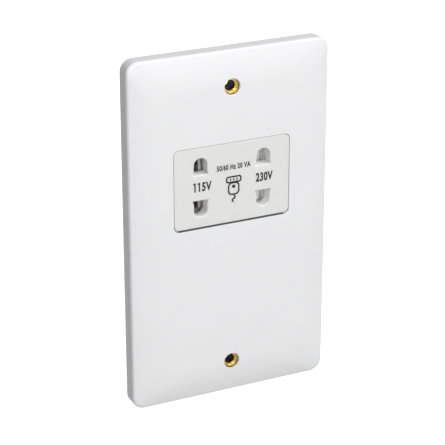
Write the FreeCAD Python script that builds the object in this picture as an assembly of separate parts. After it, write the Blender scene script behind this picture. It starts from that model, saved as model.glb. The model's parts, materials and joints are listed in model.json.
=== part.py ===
"""Dual-voltage shaver socket on a two-gang portrait plate, in millimetres.

X runs to the right as seen from the front, Y runs into the wall and Z runs up.
The origin is on the wall plane, at the centre of the front plate.
"""

import FreeCAD
import Part
import math
import os

# Front plate
PLATE_WIDTH = 88.0
PLATE_HEIGHT = 150.0
PLATE_DEPTH = 9.0         # from the wall to the flat front face
PLATE_EDGE = 6.0          # straight part of the side wall
EDGE_ROUND = 1.8          # radius where the side wall turns into the crown
CROWN_SLOPE = 11.5        # degrees at the outer end of the crown
CORNER_RADIUS = 6.0       # outline at the wall
CROWN_CORNER = 12.0       # outline where the crown meets the flat face
PLATE_SKIN = 2.5
RIM_WALL = 2.4
RIB_WALL = 1.6
RIB_RISE = 3.5
SIDE_RIBS = 4
SIDE_RIB_PITCH = 30.0
FIXING_SPACING = 120.6
FIXING_BOSS_WALL = 2.0
WINDOW_EDGE = 0.4         # chamfer at the front of the window

# Turned brass bushes in the fixing holes
BUSH_RADIUS = 3.6
BUSH_RECESS = 0.4
BUSH_MOUTH = 3.2
BUSH_SEAT = 2.75
BUSH_MOUTH_DEPTH = 1.7
BUSH_SEAT_DEPTH = 0.6
FIXING_HOLE = 2.1         # clears an M3.5 screw

# Socket insert
SOCKET_Z = 20.0           # centre of the socket above the centre of the plate
INSERT_WIDTH = 51.0
INSERT_HEIGHT = 34.0
INSERT_CORNER = 2.2
INSERT_EDGE = 0.5         # chamfer round the face
INSERT_GAP = 0.4
INSERT_WALL = 5.0
FACE_WALL = 2.2           # where the face is cored between the apertures
LIP_WIDTH = 3.0
LIP_THICKNESS = 1.5
POCKET_WALL = 1.5
CORING_MARGIN = 1.9

# Plug apertures
PAIR_SPACING = 27.8
APERTURE_WIDTH = 7.0      # across the flared foot
APERTURE_RADIUS = 2.9
APERTURE_BASE = 5.5       # from the centre line of the pair to the foot
APERTURE_TIP = 12.5
APERTURE_FOOT = 1.4
MOUTH_CHAMFER = 0.3

# Sliding interlock shutter
SHUTTER_THICKNESS = 6.5
SHUTTER_TIP = 1.2
SHUTTER_WALL = 1.5
SHUTTER_OVERLAP = 0.8
RUN_GAP = 0.3
TRAVEL_SPARE = 0.2

# Contact carrier and its screws
CARRIER_DEPTH = 12.0
CARRIER_WALL = 1.5
CAVITY_MARGIN = 0.4
EAR_RADIUS = 2.5
EAR_THICKNESS = 4.0
EAR_MERGE = 0.3
CARRIER_SCREW = 1.05
CARRIER_HEAD = 2.2
CARRIER_SCREW_LENGTH = 10.6
HEAD_HEIGHT = 1.8
PILOT_GAP = 0.05
SCREW_GAP = 0.2
THREAD_END = 0.5

# Spring contacts
STRIP = 0.5
CLIP_MOUTH = 3.0
CLIP_THROAT = 1.7
CLIP_BASE = 3.2
CLIP_SETBACK = 1.1
CLIP_NOSE = 3.3
CLIP_BEND = 0.6
CLIP_SIDE_GAP = 0.6
TAG_WIDTH = 3.0
TAG_REACH = 2.2
TAG_GAP = 0.05
LINK_WIDTH = 3.8
LINK_MARGIN = 2.0

# Transformer
CORE_UNIT = 8.0           # width of an outer leg of the core
STACK = 18.0
CORE_DROP = 6.6           # from the carrier down to the top of the core
FORMER_GAP = 0.3
FORMER_WALL = 1.0
WINDING_GAP = 1.0
WINDING_CORNER = 3.0
CLAMP_STRIP = 0.8
CLAMP_WIDTH = 14.0
CLAMP_CORNER = 0.3        # inside the folds
CLAMP_TAB = 4.0
CUTOUT_WIDTH = 14.0
CUTOUT_HEIGHT = 8.0
CUTOUT_THICKNESS = 3.2
CUTOUT_CORNER = 1.0
CUTOUT_GAP = 0.5
POST_WIDTH = 4.0
SEAT_GAP = 0.3

# Rear housing
HOUSING_WALL = 2.0
HOUSING_GAP = 0.5
HOUSING_CORNER = 2.0
HEADROOM = 4.5
WIRING_SPACE = 5.0
LEAD_PASSAGE = 3.6
COIL_SPACE = 2.0
SEAT_MARGIN = 0.8
CORE_RIB = 3.0
LUG_X = 12.0
LUG_RADIUS = 3.0
LUG_THICKNESS = 2.5
LUG_GAP = 0.2
LUG_BACK = 2.0
HOUSING_SCREW = 1.25
HOUSING_HEAD = 2.6
HOUSING_SCREW_LENGTH = 7.5

# Terminals
TERMINAL_PITCH = 13.5
TERMINAL_WIDTH = 9.6
TERMINAL_HEIGHT = 12.0
TERMINAL_DEPTH = 8.0
TERMINAL_DROP = 7.0       # from the centre line of the socket to the foot of a terminal
WIRE_HOLE = 1.9
TERMINAL_GAP = 0.4
BLOCK_WALL = 2.0
BLOCK_SIDE = 2.8
BLOCK_HEIGHT = 24.0
BLOCK_LUG_X = 24.2
BLOCK_LUG_RADIUS = 2.7
BLOCK_LUG_DROP = 4.0
BLOCK_SCREW_LENGTH = 6.0
BLOCK_BOSS_DEPTH = 6.0
CLAMP_SCREW = 1.5
CLAMP_HEAD = 2.8
CLAMP_HEAD_HEIGHT = 1.2
HEAD_COVER = 0.2          # the cells stand this far past the screw heads
LEAD_TAG = 0.8
LEAD_TAG_REACH = 2.2

# Earth strap
STRAP = 0.8
STRAP_WIDTH = 5.0
STRAP_EYE_WALL = 2.0
STRAP_BEND = 4.0
STRAP_BACK_GAP = 0.2
STRAP_SPACE = 1.5
BRANCH_WIDTH = 6.0
BRANCH_BEND = 1.0

# Inner leads
LEAD_RADIUS = 0.7
LEAD_BEND = 1.6
LEAD_GAP = 0.95           # below the step of the housing
FRONT_LEAD_SPACE = 2.7    # from the core to the leads at the front and back of the coil
BACK_LEAD_SPACE = 3.2
COMMON_LEAD_X = 6.0
LEAD_115V_X = -8.0
LEAD_230V_X = 11.4

EDGE_STEPS = 4
CROWN_STEPS = 3
BEND_STEPS = 3
SCREW_SIDES = 12
LEAD_SIDES = 8
TOUCH = 0.001
CUT_SPARE = 1.0

ACROSS = FreeCAD.Vector(1, 0, 0)
INTO_WALL = FreeCAD.Vector(0, 1, 0)
UP = FreeCAD.Vector(0, 0, 1)
SIDES = (-1, 1)
QUARTERS = ((1, 1), (-1, 1), (-1, -1), (1, -1))

# Levels from front to back
FRONT = -PLATE_DEPTH
SKIN_BACK = FRONT + PLATE_SKIN
SKIN_MIDDLE = FRONT + PLATE_SKIN / 2
LIP_BACK = SKIN_BACK + LIP_THICKNESS
POCKET_FLOOR = FRONT + INSERT_WALL
CARRIER_FACE = POCKET_FLOOR + SHUTTER_THICKNESS + 2 * RUN_GAP
CARRIER_BACK = CARRIER_FACE + CARRIER_DEPTH
CAVITY_FLOOR = CARRIER_BACK - CARRIER_WALL
EAR_BACK = CARRIER_FACE + EAR_THICKNESS
UPPER_WALL = CARRIER_BACK + WIRING_SPACE
UPPER_BACK = UPPER_WALL + HOUSING_WALL
STRAP_FRONT = -STRAP - STRAP_BACK_GAP
STRAP_MIDDLE = STRAP_FRONT + STRAP / 2
LUG_FRONT = LUG_BACK - LUG_THICKNESS

# Places across the socket
INSERT_HALF_X = INSERT_WIDTH / 2
INSERT_HALF_Z = INSERT_HEIGHT / 2
PAIR_X = PAIR_SPACING / 2
SHUTTER_TRAVEL = APERTURE_WIDTH + TRAVEL_SPARE
SHUTTER_HALF_X = PAIR_X + APERTURE_WIDTH / 2 - SHUTTER_TRAVEL / 2
SHUTTER_HALF_Z = APERTURE_TIP + SHUTTER_OVERLAP
SHUTTER_FRONT = POCKET_FLOOR + RUN_GAP
SHUTTER_BACK = SHUTTER_FRONT + SHUTTER_THICKNESS
POCKET_HALF_X = SHUTTER_HALF_X + SHUTTER_TRAVEL / 2 + RUN_GAP
POCKET_HALF_Z = SHUTTER_HALF_Z + RUN_GAP
CARRIER_HALF_X = POCKET_HALF_X + POCKET_WALL
CARRIER_HALF_Z = POCKET_HALF_Z + POCKET_WALL
EAR_X = CARRIER_HALF_X + EAR_RADIUS - EAR_MERGE
CLIP_HALF_Z = (APERTURE_TIP - APERTURE_BASE) / 2 + CAVITY_MARGIN - CLIP_SIDE_GAP
CLIP_Z = (APERTURE_TIP + APERTURE_BASE) / 2

# Places of the transformer
CORE_HALF_X = 3 * CORE_UNIT
CLAMP_GAP = CLAMP_CORNER / 2    # keeps the folds off the sharp corners of the core
CORE_TOP = SOCKET_Z - CARRIER_HALF_Z - CORE_DROP
WINDOW_TOP = CORE_TOP - CORE_UNIT
WINDOW_FOOT = WINDOW_TOP - 3 * CORE_UNIT
CORE_FOOT = WINDOW_FOOT - CORE_UNIT
TUBE_X = CORE_UNIT + FORMER_GAP
TUBE_Y = STACK / 2 + FORMER_GAP
WINDING_BUILD = CORE_UNIT - FORMER_GAP - FORMER_WALL - WINDING_GAP
WINDING_X = TUBE_X + FORMER_WALL + WINDING_BUILD
WINDING_Y = TUBE_Y + FORMER_WALL + WINDING_BUILD
FLANGE_X = 2 * CORE_UNIT - FORMER_GAP
FLANGE_Y = WINDING_Y + FORMER_GAP
FORMER_TOP = WINDOW_TOP - FORMER_GAP
FORMER_FOOT = WINDOW_FOOT + FORMER_GAP
FORMER_MIDDLE = (FORMER_TOP + FORMER_FOOT) / 2
CORE_Y = SKIN_BACK + CUTOUT_GAP + CUTOUT_THICKNESS + WINDING_Y
CORE_FRONT = CORE_Y - STACK / 2
CORE_BACK = CORE_Y + STACK / 2
WINDOW_X = 3 * CORE_UNIT / 2
POST_X = CORE_HALF_X - CORE_UNIT / 2
POST_HEIGHTS = (CORE_TOP - CORE_UNIT / 2, CORE_FOOT + CORE_UNIT / 2)

# Places of the housing
INNER_X = max(CORE_HALF_X + CLAMP_GAP + CLAMP_STRIP, EAR_X + EAR_RADIUS) + HOUSING_GAP
INNER_TOP = SOCKET_Z + CARRIER_HALF_Z + HEADROOM
INNER_FOOT = CORE_FOOT - CLAMP_GAP - CLAMP_STRIP - HOUSING_GAP
STEP_FOOT = CORE_TOP + LEAD_PASSAGE
LOWER_WALL = CORE_Y + FLANGE_Y + COIL_SPACE
HOUSING_X = INNER_X + HOUSING_WALL
HOUSING_TOP = INNER_TOP + HOUSING_WALL
HOUSING_FOOT = INNER_FOOT - HOUSING_WALL
STEP_TOP = STEP_FOOT + HOUSING_WALL
LOWER_BACK = LOWER_WALL + HOUSING_WALL
LUG_OFFSET = LUG_RADIUS + LUG_GAP
LUG_PLACES = ((LUG_X, HOUSING_TOP + LUG_OFFSET), (-LUG_X, HOUSING_FOOT - LUG_OFFSET))

# Places of the terminals
TERMINAL_FOOT = SOCKET_Z - TERMINAL_DROP
TERMINAL_FRONT = UPPER_BACK + BLOCK_WALL
TERMINAL_BACK = TERMINAL_FRONT + TERMINAL_DEPTH
TERMINAL_Y = TERMINAL_FRONT + TERMINAL_DEPTH / 2
TERMINAL_Z = TERMINAL_FOOT + TERMINAL_HEIGHT / 2
BLOCK_X = TERMINAL_PITCH + TERMINAL_WIDTH / 2 + TERMINAL_GAP + BLOCK_SIDE
BLOCK_FOOT = TERMINAL_FOOT - BLOCK_WALL
BLOCK_TOP = BLOCK_FOOT + BLOCK_HEIGHT
BLOCK_BACK = TERMINAL_BACK + CLAMP_HEAD_HEIGHT + HEAD_COVER
BLOCK_LUG_Z = BLOCK_TOP - BLOCK_LUG_DROP
BLOCK_LUG_BACK = UPPER_BACK + LUG_THICKNESS
LEAD_TAG_END = UPPER_WALL - LEAD_TAG_REACH

# Places of the strap and the fixings
FIXING_Z = FIXING_SPACING / 2
STRAP_X = max(HOUSING_X, INSERT_HALF_X + LIP_WIDTH) + STRAP_SPACE + STRAP_WIDTH / 2
BRANCH_X = HOUSING_X + STRAP / 2
BRANCH_Y = TERMINAL_Y - CLAMP_SCREW


def vec(x, y, z):
    return FreeCAD.Vector(x, y, z)


def block(x_range, y_range, z_range):
    """Box between two places along each axis."""
    low = vec(x_range[0], y_range[0], z_range[0])
    return Part.makeBox(x_range[1] - x_range[0], y_range[1] - y_range[0], z_range[1] - z_range[0], low)


def about(centre, half):
    """Two places, half on each side of a centre."""
    return (centre - half, centre + half)


def rod(radius, x, z, y_range):
    """Round bar that runs into the wall."""
    return Part.makeCylinder(radius, y_range[1] - y_range[0], vec(x, y_range[0], z), INTO_WALL)


def many_sided(radius, sides, centre, across, along):
    """Closed outline with many equal sides, for small round pieces."""
    points = []
    for step in range(sides):
        angle = 2 * math.pi * (step + 0.5) / sides
        points.append(centre + across * (radius * math.cos(angle)) + along * (radius * math.sin(angle)))
    return Part.makePolygon(points + points[:1])


def bar(radius, x, z, y_range):
    """Small round bar that runs into the wall, with few sides."""
    outline = many_sided(radius, SCREW_SIDES, vec(x, y_range[0], z), ACROSS, UP)
    return Part.Face(outline).extrude(vec(0, y_range[1] - y_range[0], 0))


def rounded_outline(centre, across, half_across, along, half_along, radius):
    """Closed outline of a rounded rectangle on two axes."""
    corners = []
    for quarter, (side_across, side_along) in enumerate(QUARTERS):
        hub = centre + across * (side_across * (half_across - radius))
        hub += along * (side_along * (half_along - radius))
        corner = []
        for step in range(3):
            angle = math.radians(90 * quarter + 45 * step)
            corner.append(hub + across * (radius * math.cos(angle)) + along * (radius * math.sin(angle)))
        corners.append(corner)
    edges = []
    for index, corner in enumerate(corners):
        following = corners[(index + 1) % len(corners)]
        edges.append(Part.Arc(*corner).toShape())
        edges.append(Part.LineSegment(corner[2], following[0]).toShape())
    return Part.Wire(edges)


def outline_at(y, centre_z, half_x, half_z, radius):
    """Rounded rectangle that faces the wall, at depth y."""
    return rounded_outline(vec(0, y, centre_z), ACROSS, half_x, UP, half_z, radius)


def slab(y_range, centre_z, half_x, half_z, radius):
    """Rounded plate that faces the wall."""
    outline = outline_at(y_range[0], centre_z, half_x, half_z, radius)
    return Part.Face(outline).extrude(vec(0, y_range[1] - y_range[0], 0))


def column(z_range, half_x, half_y, radius):
    """Rounded upright block about the axis of the core."""
    outline = rounded_outline(vec(0, CORE_Y, z_range[0]), ACROSS, half_x, INTO_WALL, half_y, radius)
    return Part.Face(outline).extrude(vec(0, 0, z_range[1] - z_range[0]))


def prism(points, direction):
    """Straight solid on a polygon."""
    return Part.Face(Part.makePolygon(points + points[:1])).extrude(direction)


def bent_path(points, bend):
    """Straight runs whose corners are rounded in a few short steps."""
    path = [points[0]]
    for before, corner, after in zip(points, points[1:], points[2:]):
        toward = (before - corner).normalize()
        away = (after - corner).normalize()
        half_angle = toward.getAngle(away) / 2
        first = corner + toward * (bend / math.tan(half_angle))
        hub = corner + (toward + away).normalize() * (bend / math.sin(half_angle))
        turn = math.pi - 2 * half_angle
        for step in range(BEND_STEPS + 1):
            part = turn * step / BEND_STEPS
            path.append(hub + (first - hub) * math.cos(part) - toward * (bend * math.sin(part)))
    return path + [points[-1]]


def swept(outline, points, bend):
    """Solid of an outline carried along a bent path, mitred where the path turns."""
    mitred = 1
    return Part.makePolygon(bent_path(points, bend)).makePipeShell([outline], True, False, mitred)


def strip(points, bend, wide_axis, width, thickness):
    """Flat strip bent along a path."""
    run = (points[1] - points[0]).normalize()
    wide = wide_axis * (width / 2)
    thick = run.cross(wide_axis) * (thickness / 2)
    ring = [wide + thick, wide - thick, -wide - thick, -wide + thick]
    outline = Part.makePolygon([points[0] + offset for offset in ring + ring[:1]])
    return swept(outline, points, bend)


def lead(points):
    """Insulated wire along straight runs and tangent bends."""
    run = (points[1] - points[0]).normalize()
    across = UP if abs(run.z) < abs(run.x) + abs(run.y) else ACROSS
    return swept(many_sided(LEAD_RADIUS, LEAD_SIDES, points[0], across, run.cross(across)), points, LEAD_BEND)


def edges_in_plane(shape, y, half_x, half_z):
    """Edges at depth y that lie within a box about the centre of the socket."""
    found = []
    for edge in shape.Edges:
        box = edge.BoundBox
        flat = abs(box.YMin - y) < TOUCH and abs(box.YMax - y) < TOUCH
        near_x = max(abs(box.XMin), abs(box.XMax)) < half_x + TOUCH
        near_z = max(abs(box.ZMin - SOCKET_Z), abs(box.ZMax - SOCKET_Z)) < half_z + TOUCH
        if flat and near_x and near_z:
            found.append(edge)
    return found


def crown_section():
    """Points from the side wall in to the flat face, as distance in and height above the wall."""
    slope = math.radians(CROWN_SLOPE)
    points = []
    for step in range(EDGE_STEPS):
        angle = (math.pi / 2 - slope) * step / EDGE_STEPS
        points.append((EDGE_ROUND * (1 - math.cos(angle)), EDGE_ROUND * math.sin(angle)))
    turn_in = EDGE_ROUND * (1 - math.sin(slope))
    turn_up = EDGE_ROUND * math.cos(slope)
    crown_rise = PLATE_DEPTH - PLATE_EDGE - turn_up
    crown_radius = crown_rise / (1 - math.cos(slope))
    for step in range(CROWN_STEPS + 1):
        angle = slope * (1 - step / CROWN_STEPS)
        inward = crown_radius * (math.sin(slope) - math.sin(angle))
        points.append((turn_in + inward, turn_up + crown_radius * (math.cos(angle) - math.cos(slope))))
    return points


def pillow():
    """Outer form of the plate: straight side wall, rounded edge and a gentle crown up to the flat face."""
    half_x = PLATE_WIDTH / 2
    half_z = PLATE_HEIGHT / 2
    section = crown_section()
    width = section[-1][0]
    sections = []
    for inward, height in section:
        radius = CORNER_RADIUS + (CROWN_CORNER - CORNER_RADIUS) * inward / width
        sections.append(outline_at(-PLATE_EDGE - height, 0, half_x - inward, half_z - inward, radius))
    side_wall = slab((-PLATE_EDGE, 0), 0, half_x, half_z, CORNER_RADIUS)
    return side_wall.fuse(Part.makeLoft(sections, True, True))


def plate_ribs():
    """Stiffening ribs between the rim, the bosses and the housing seat."""
    rib_back = SKIN_BACK + RIB_RISE
    depth = (SKIN_MIDDLE, rib_back)
    rim_x = (PLATE_WIDTH - RIM_WALL) / 2
    rim_z = (PLATE_HEIGHT - RIM_WALL) / 2
    near_x = max(HOUSING_X + SEAT_MARGIN, INSERT_HALF_X + LIP_WIDTH) + HOUSING_GAP
    ribs = []
    for step in range(SIDE_RIBS):
        level = about((step - (SIDE_RIBS - 1) / 2) * SIDE_RIB_PITCH, RIB_WALL / 2)
        ribs.append(block((near_x, rim_x), depth, level))
        ribs.append(block((-rim_x, -near_x), depth, level))
    for side in SIDES:
        ribs.append(block((-rim_x, rim_x), depth, about(side * FIXING_Z, RIB_WALL / 2)))
        upright = sorted((side * FIXING_Z, side * rim_z))
        ribs.append(block(about(0, RIB_WALL / 2), depth, upright))
    return ribs


def housing_seat():
    """Raised ring that the rim of the rear housing sits on."""
    depth = (SKIN_MIDDLE, LIP_BACK)
    outer_z = (HOUSING_FOOT - SEAT_MARGIN, HOUSING_TOP + SEAT_MARGIN)
    inner_z = (INNER_FOOT + SEAT_MARGIN, INNER_TOP - SEAT_MARGIN)
    ring = block(about(0, HOUSING_X + SEAT_MARGIN), depth, outer_z)
    ring = ring.cut(block(about(0, INNER_X - SEAT_MARGIN), depth, inner_z))
    lip_x = about(0, INSERT_HALF_X + LIP_WIDTH + SEAT_GAP)
    lip_z = about(SOCKET_Z, INSERT_HALF_Z + LIP_WIDTH + SEAT_GAP)
    return ring.cut(block(lip_x, (SKIN_BACK, LIP_BACK + CUT_SPARE), lip_z))


def front_plate():
    """Moulded plate: pillow-edged shell, window, bosses, posts and ribs."""
    outer = pillow()
    cavity_x = PLATE_WIDTH / 2 - RIM_WALL
    cavity_z = PLATE_HEIGHT / 2 - RIM_WALL
    shell = outer.cut(slab((SKIN_BACK, 0), 0, cavity_x, cavity_z, CORNER_RADIUS - RIM_WALL))
    inside = plate_ribs() + [housing_seat()]
    hole = BUSH_RADIUS + PILOT_GAP
    for x, z in LUG_PLACES:
        inside.append(rod(LUG_RADIUS, x, z, (SKIN_MIDDLE, LUG_FRONT)))
    for side in SIDES:
        inside.append(rod(hole + FIXING_BOSS_WALL, 0, side * FIXING_Z, (SKIN_MIDDLE, STRAP_FRONT)))
    inside = inside[0].fuse(inside[1:]).common(outer)
    posts = []
    cuts = []
    for side in SIDES:
        cuts.append(rod(hole, 0, side * FIXING_Z, (FRONT - CUT_SPARE, 0)))
        for level in POST_HEIGHTS:
            post_x = about(side * POST_X, POST_WIDTH / 2)
            post_z = about(level, POST_WIDTH / 2)
            posts.append(block(post_x, (SKIN_MIDDLE, CORE_FRONT - SEAT_GAP), post_z))
    for x, z in LUG_PLACES:
        pilot = (LUG_BACK - HOUSING_SCREW_LENGTH - THREAD_END, LUG_FRONT)
        cuts.append(bar(HOUSING_SCREW + PILOT_GAP, x, z, pilot))
    window_x = INSERT_HALF_X + INSERT_GAP
    window_z = INSERT_HALF_Z + INSERT_GAP
    window_corner = INSERT_CORNER + INSERT_GAP
    cuts.append(slab((FRONT - CUT_SPARE, SKIN_BACK), SOCKET_Z, window_x, window_z, window_corner))
    plate = shell.fuse([inside] + posts).cut(cuts).removeSplitter()
    return plate.makeChamfer(WINDOW_EDGE, edges_in_plane(plate, FRONT, window_x, window_z))


def aperture(side_x, side_z):
    """One bell-shaped plug opening: flat flared foot, straight sides, round tip."""
    x = side_x * PAIR_X
    depth = FRONT - CUT_SPARE

    def point(offset, height):
        return vec(x + offset, depth, SOCKET_Z + side_z * height)

    hub = APERTURE_TIP - APERTURE_RADIUS
    waist = APERTURE_BASE + APERTURE_FOOT
    foot = APERTURE_WIDTH / 2
    corners = [point(APERTURE_RADIUS, hub), point(APERTURE_RADIUS, waist), point(foot, APERTURE_BASE)]
    corners += [point(-foot, APERTURE_BASE), point(-APERTURE_RADIUS, waist), point(-APERTURE_RADIUS, hub)]
    edges = [Part.LineSegment(a, b).toShape() for a, b in zip(corners, corners[1:])]
    edges.append(Part.Arc(corners[-1], point(0, APERTURE_TIP), corners[0]).toShape())
    return Part.Face(Part.Wire(edges)).extrude(vec(0, POCKET_FLOOR - depth, 0))


def ear_places():
    """Centres of the two screws that hold the carrier to the insert."""
    return [(side * EAR_X, SOCKET_Z) for side in SIDES]


def socket_insert():
    """Face piece: lipped face, four apertures and the shutter's pocket behind it."""
    face = slab((FRONT, LIP_BACK), SOCKET_Z, INSERT_HALF_X, INSERT_HALF_Z, INSERT_CORNER)
    lip_x = INSERT_HALF_X + LIP_WIDTH
    lip_z = INSERT_HALF_Z + LIP_WIDTH
    joined = [slab((SKIN_BACK, LIP_BACK), SOCKET_Z, lip_x, lip_z, INSERT_CORNER + LIP_WIDTH)]
    depth = (SKIN_BACK, CARRIER_FACE)
    joined.append(block(about(0, CARRIER_HALF_X), depth, about(SOCKET_Z, CARRIER_HALF_Z)))
    screw_end = EAR_BACK - CARRIER_SCREW_LENGTH - THREAD_END
    pocket = (POCKET_FLOOR, CARRIER_FACE)
    cuts = [block(about(0, POCKET_HALF_X), pocket, about(SOCKET_Z, POCKET_HALF_Z))]
    coring_x = PAIR_X - APERTURE_WIDTH / 2 - CORING_MARGIN
    coring_z = POCKET_HALF_Z - CORING_MARGIN
    cuts.append(block(about(0, coring_x), (FRONT + FACE_WALL, POCKET_FLOOR), about(SOCKET_Z, coring_z)))
    for x, z in ear_places():
        joined.append(rod(EAR_RADIUS, x, z, depth))
        cuts.append(bar(CARRIER_SCREW + PILOT_GAP, x, z, (screw_end, CARRIER_FACE)))
    for side_x, side_z in QUARTERS:
        cuts.append(aperture(side_x, side_z))
    insert = face.fuse(joined).cut(cuts).removeSplitter()
    mouths = edges_in_plane(insert, FRONT, INSERT_HALF_X - INSERT_CORNER, INSERT_HALF_Z - INSERT_CORNER)
    insert = insert.makeChamfer(MOUTH_CHAMFER, mouths)
    rim = [e for e in edges_in_plane(insert, FRONT, INSERT_HALF_X, INSERT_HALF_Z) if not within_mouths(e)]
    return insert.makeChamfer(INSERT_EDGE, rim)


def within_mouths(edge):
    """True for an edge that belongs to an aperture and not to the rim of the face."""
    box = edge.BoundBox
    reach_x = max(abs(box.XMin), abs(box.XMax))
    reach_z = max(abs(box.ZMin - SOCKET_Z), abs(box.ZMax - SOCKET_Z))
    return reach_x < INSERT_HALF_X - INSERT_CORNER and reach_z < INSERT_HALF_Z - INSERT_CORNER


def shutter_outline(draw_in):
    """Section of the shutter seen from above, with a ramp at each end, drawn in for its coring."""
    ramp = APERTURE_WIDTH
    rise = SHUTTER_THICKNESS - SHUTTER_TIP
    slope = math.hypot(ramp, rise)
    shift = draw_in * slope / rise
    foot_z = SOCKET_Z - SHUTTER_HALF_Z + draw_in
    middle = SHUTTER_TRAVEL / 2
    tip_y = SHUTTER_BACK - SHUTTER_TIP
    top_y = SHUTTER_FRONT + draw_in
    top_x = SHUTTER_HALF_X - ramp - shift + draw_in * ramp / rise
    tip_x = SHUTTER_HALF_X - shift
    half = [(top_x, top_y), (tip_x, tip_y), (tip_x, SHUTTER_BACK)]
    ring = half + [(-x, y) for x, y in reversed(half)]
    return [vec(middle + x, y, foot_z) for x, y in ring]


def interlock_shutter():
    """Sliding block that closes one pair of apertures, ramped so that plug pins push it aside."""
    body = prism(shutter_outline(0), UP * (2 * SHUTTER_HALF_Z))
    hollow = prism(shutter_outline(SHUTTER_WALL), UP * (2 * (SHUTTER_HALF_Z - SHUTTER_WALL)))
    web = block(about(SHUTTER_TRAVEL / 2, SHUTTER_HALF_X / 2), (SHUTTER_FRONT, SHUTTER_BACK),
                about(SOCKET_Z, SHUTTER_WALL / 2))
    return body.cut(hollow.cut(web))


def contact_carrier():
    """Moulding behind the shutter with a chamber for each contact."""
    depth = (CARRIER_FACE, CARRIER_BACK)
    body = block(about(0, CARRIER_HALF_X), depth, about(SOCKET_Z, CARRIER_HALF_Z))
    ears = [rod(EAR_RADIUS, x, z, (CARRIER_FACE, EAR_BACK)) for x, z in ear_places()]
    cuts = [bar(CARRIER_SCREW + SCREW_GAP, x, z, depth) for x, z in ear_places()]
    chamber_x = APERTURE_WIDTH / 2 + CAVITY_MARGIN
    chamber_z = (APERTURE_TIP - APERTURE_BASE) / 2 + CAVITY_MARGIN
    for side_x, side_z in QUARTERS:
        place_x = side_x * PAIR_X
        place_z = SOCKET_Z + side_z * CLIP_Z
        cuts.append(block(about(place_x, chamber_x), (CARRIER_FACE, CAVITY_FLOOR), about(place_z, chamber_z)))
        slot_x = about(place_x, STRIP / 2 + TAG_GAP)
        cuts.append(block(slot_x, (CAVITY_FLOOR, CARRIER_BACK), about(place_z, TAG_WIDTH / 2 + TAG_GAP)))
    coring_x = PAIR_X - chamber_x - CARRIER_WALL
    coring_z = CLIP_Z - LINK_WIDTH / 2 - CARRIER_WALL
    coring_y = (CARRIER_FACE + CARRIER_WALL, CARRIER_BACK)
    cuts.append(block(about(0, coring_x), coring_y, about(SOCKET_Z, coring_z)))
    return body.fuse(ears).cut(cuts)


def screw(x, z, head_radius, head_height, shank_radius, under_head, tip):
    """Screw driven from the back."""
    head = bar(head_radius, x, z, (under_head, under_head + head_height))
    return head.fuse(bar(shank_radius, x, z, (tip, under_head)))


def carrier_screws():
    tip = EAR_BACK - CARRIER_SCREW_LENGTH
    places = ear_places()
    screws = [screw(x, z, CARRIER_HEAD, HEAD_HEIGHT, CARRIER_SCREW, EAR_BACK, tip) for x, z in places]
    return Part.makeCompound(screws)


def contact(side_x, side_z):
    """Folded spring clip with a solder tag through the back of the carrier."""
    x = side_x * PAIR_X
    z = SOCKET_Z + side_z * CLIP_Z
    mouth_y = CARRIER_FACE + CLIP_SETBACK
    base_y = CAVITY_FLOOR - STRIP / 2
    half = [(CLIP_MOUTH, mouth_y), (CLIP_THROAT, mouth_y + CLIP_NOSE), (CLIP_BASE, base_y)]
    route = [(-reach, y) for reach, y in half] + list(reversed(half))
    points = [vec(x + reach, y, z) for reach, y in route]
    clip = strip(points, CLIP_BEND, UP, 2 * CLIP_HALF_Z, STRIP)
    tag = block(about(x, STRIP / 2), (base_y, CARRIER_BACK + TAG_REACH), about(z, TAG_WIDTH / 2))
    return clip.fuse(tag)


def common_link():
    """Strip on the back of the carrier that joins the two upper contacts."""
    z = SOCKET_Z + CLIP_Z
    depth = (CARRIER_BACK, CARRIER_BACK + STRIP)
    link = block(about(0, PAIR_X + LINK_MARGIN), depth, about(z, LINK_WIDTH / 2))
    slots = []
    for side in SIDES:
        slot_x = about(side * PAIR_X, STRIP / 2 + TAG_GAP)
        slots.append(block(slot_x, depth, about(z, TAG_WIDTH / 2 + TAG_GAP)))
    return link.cut(slots)


def fixing_bush(side):
    """Turned sleeve with a stepped bore, pressed through the plate and the earth strap."""
    mouth_y = FRONT + BUSH_RECESS
    step_y = mouth_y + BUSH_MOUTH_DEPTH
    seat_y = step_y + BUSH_SEAT_DEPTH
    section = [(BUSH_MOUTH, mouth_y), (BUSH_RADIUS, mouth_y), (BUSH_RADIUS, 0), (FIXING_HOLE, 0)]
    section += [(FIXING_HOLE, seat_y), (BUSH_SEAT, seat_y), (BUSH_SEAT, step_y), (BUSH_MOUTH, step_y)]
    z = side * FIXING_Z
    points = [vec(radius, y, z) for radius, y in section]
    face = Part.Face(Part.makePolygon(points + points[:1]))
    return face.revolve(vec(0, 0, z), INTO_WALL, 360)


def earth_strap():
    """Flat strip from bush to bush, with a folded branch to the earth terminal."""
    route = [(0, FIXING_Z), (STRAP_X, FIXING_Z), (STRAP_X, -FIXING_Z), (0, -FIXING_Z)]
    points = [vec(x, STRAP_MIDDLE, z) for x, z in route]
    run = strip(points, STRAP_BEND, UP, STRAP_WIDTH, STRAP)
    depth = (STRAP_FRONT, -STRAP_BACK_GAP)
    terminal_side = TERMINAL_PITCH + TERMINAL_WIDTH / 2
    branch_route = [(STRAP_X, STRAP_MIDDLE), (BRANCH_X, STRAP_MIDDLE), (BRANCH_X, BRANCH_Y)]
    branch_route.append((terminal_side, BRANCH_Y))
    branch_points = [vec(x, y, TERMINAL_Z) for x, y in branch_route]
    branch = strip(branch_points, BRANCH_BEND, UP, BRANCH_WIDTH, STRAP)
    eyes = [rod(BUSH_RADIUS + STRAP_EYE_WALL, 0, side * FIXING_Z, depth) for side in SIDES]
    holes = [rod(BUSH_RADIUS + PILOT_GAP, 0, side * FIXING_Z, depth) for side in SIDES]
    return run.fuse(eyes + [branch]).cut(holes).removeSplitter()


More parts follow.
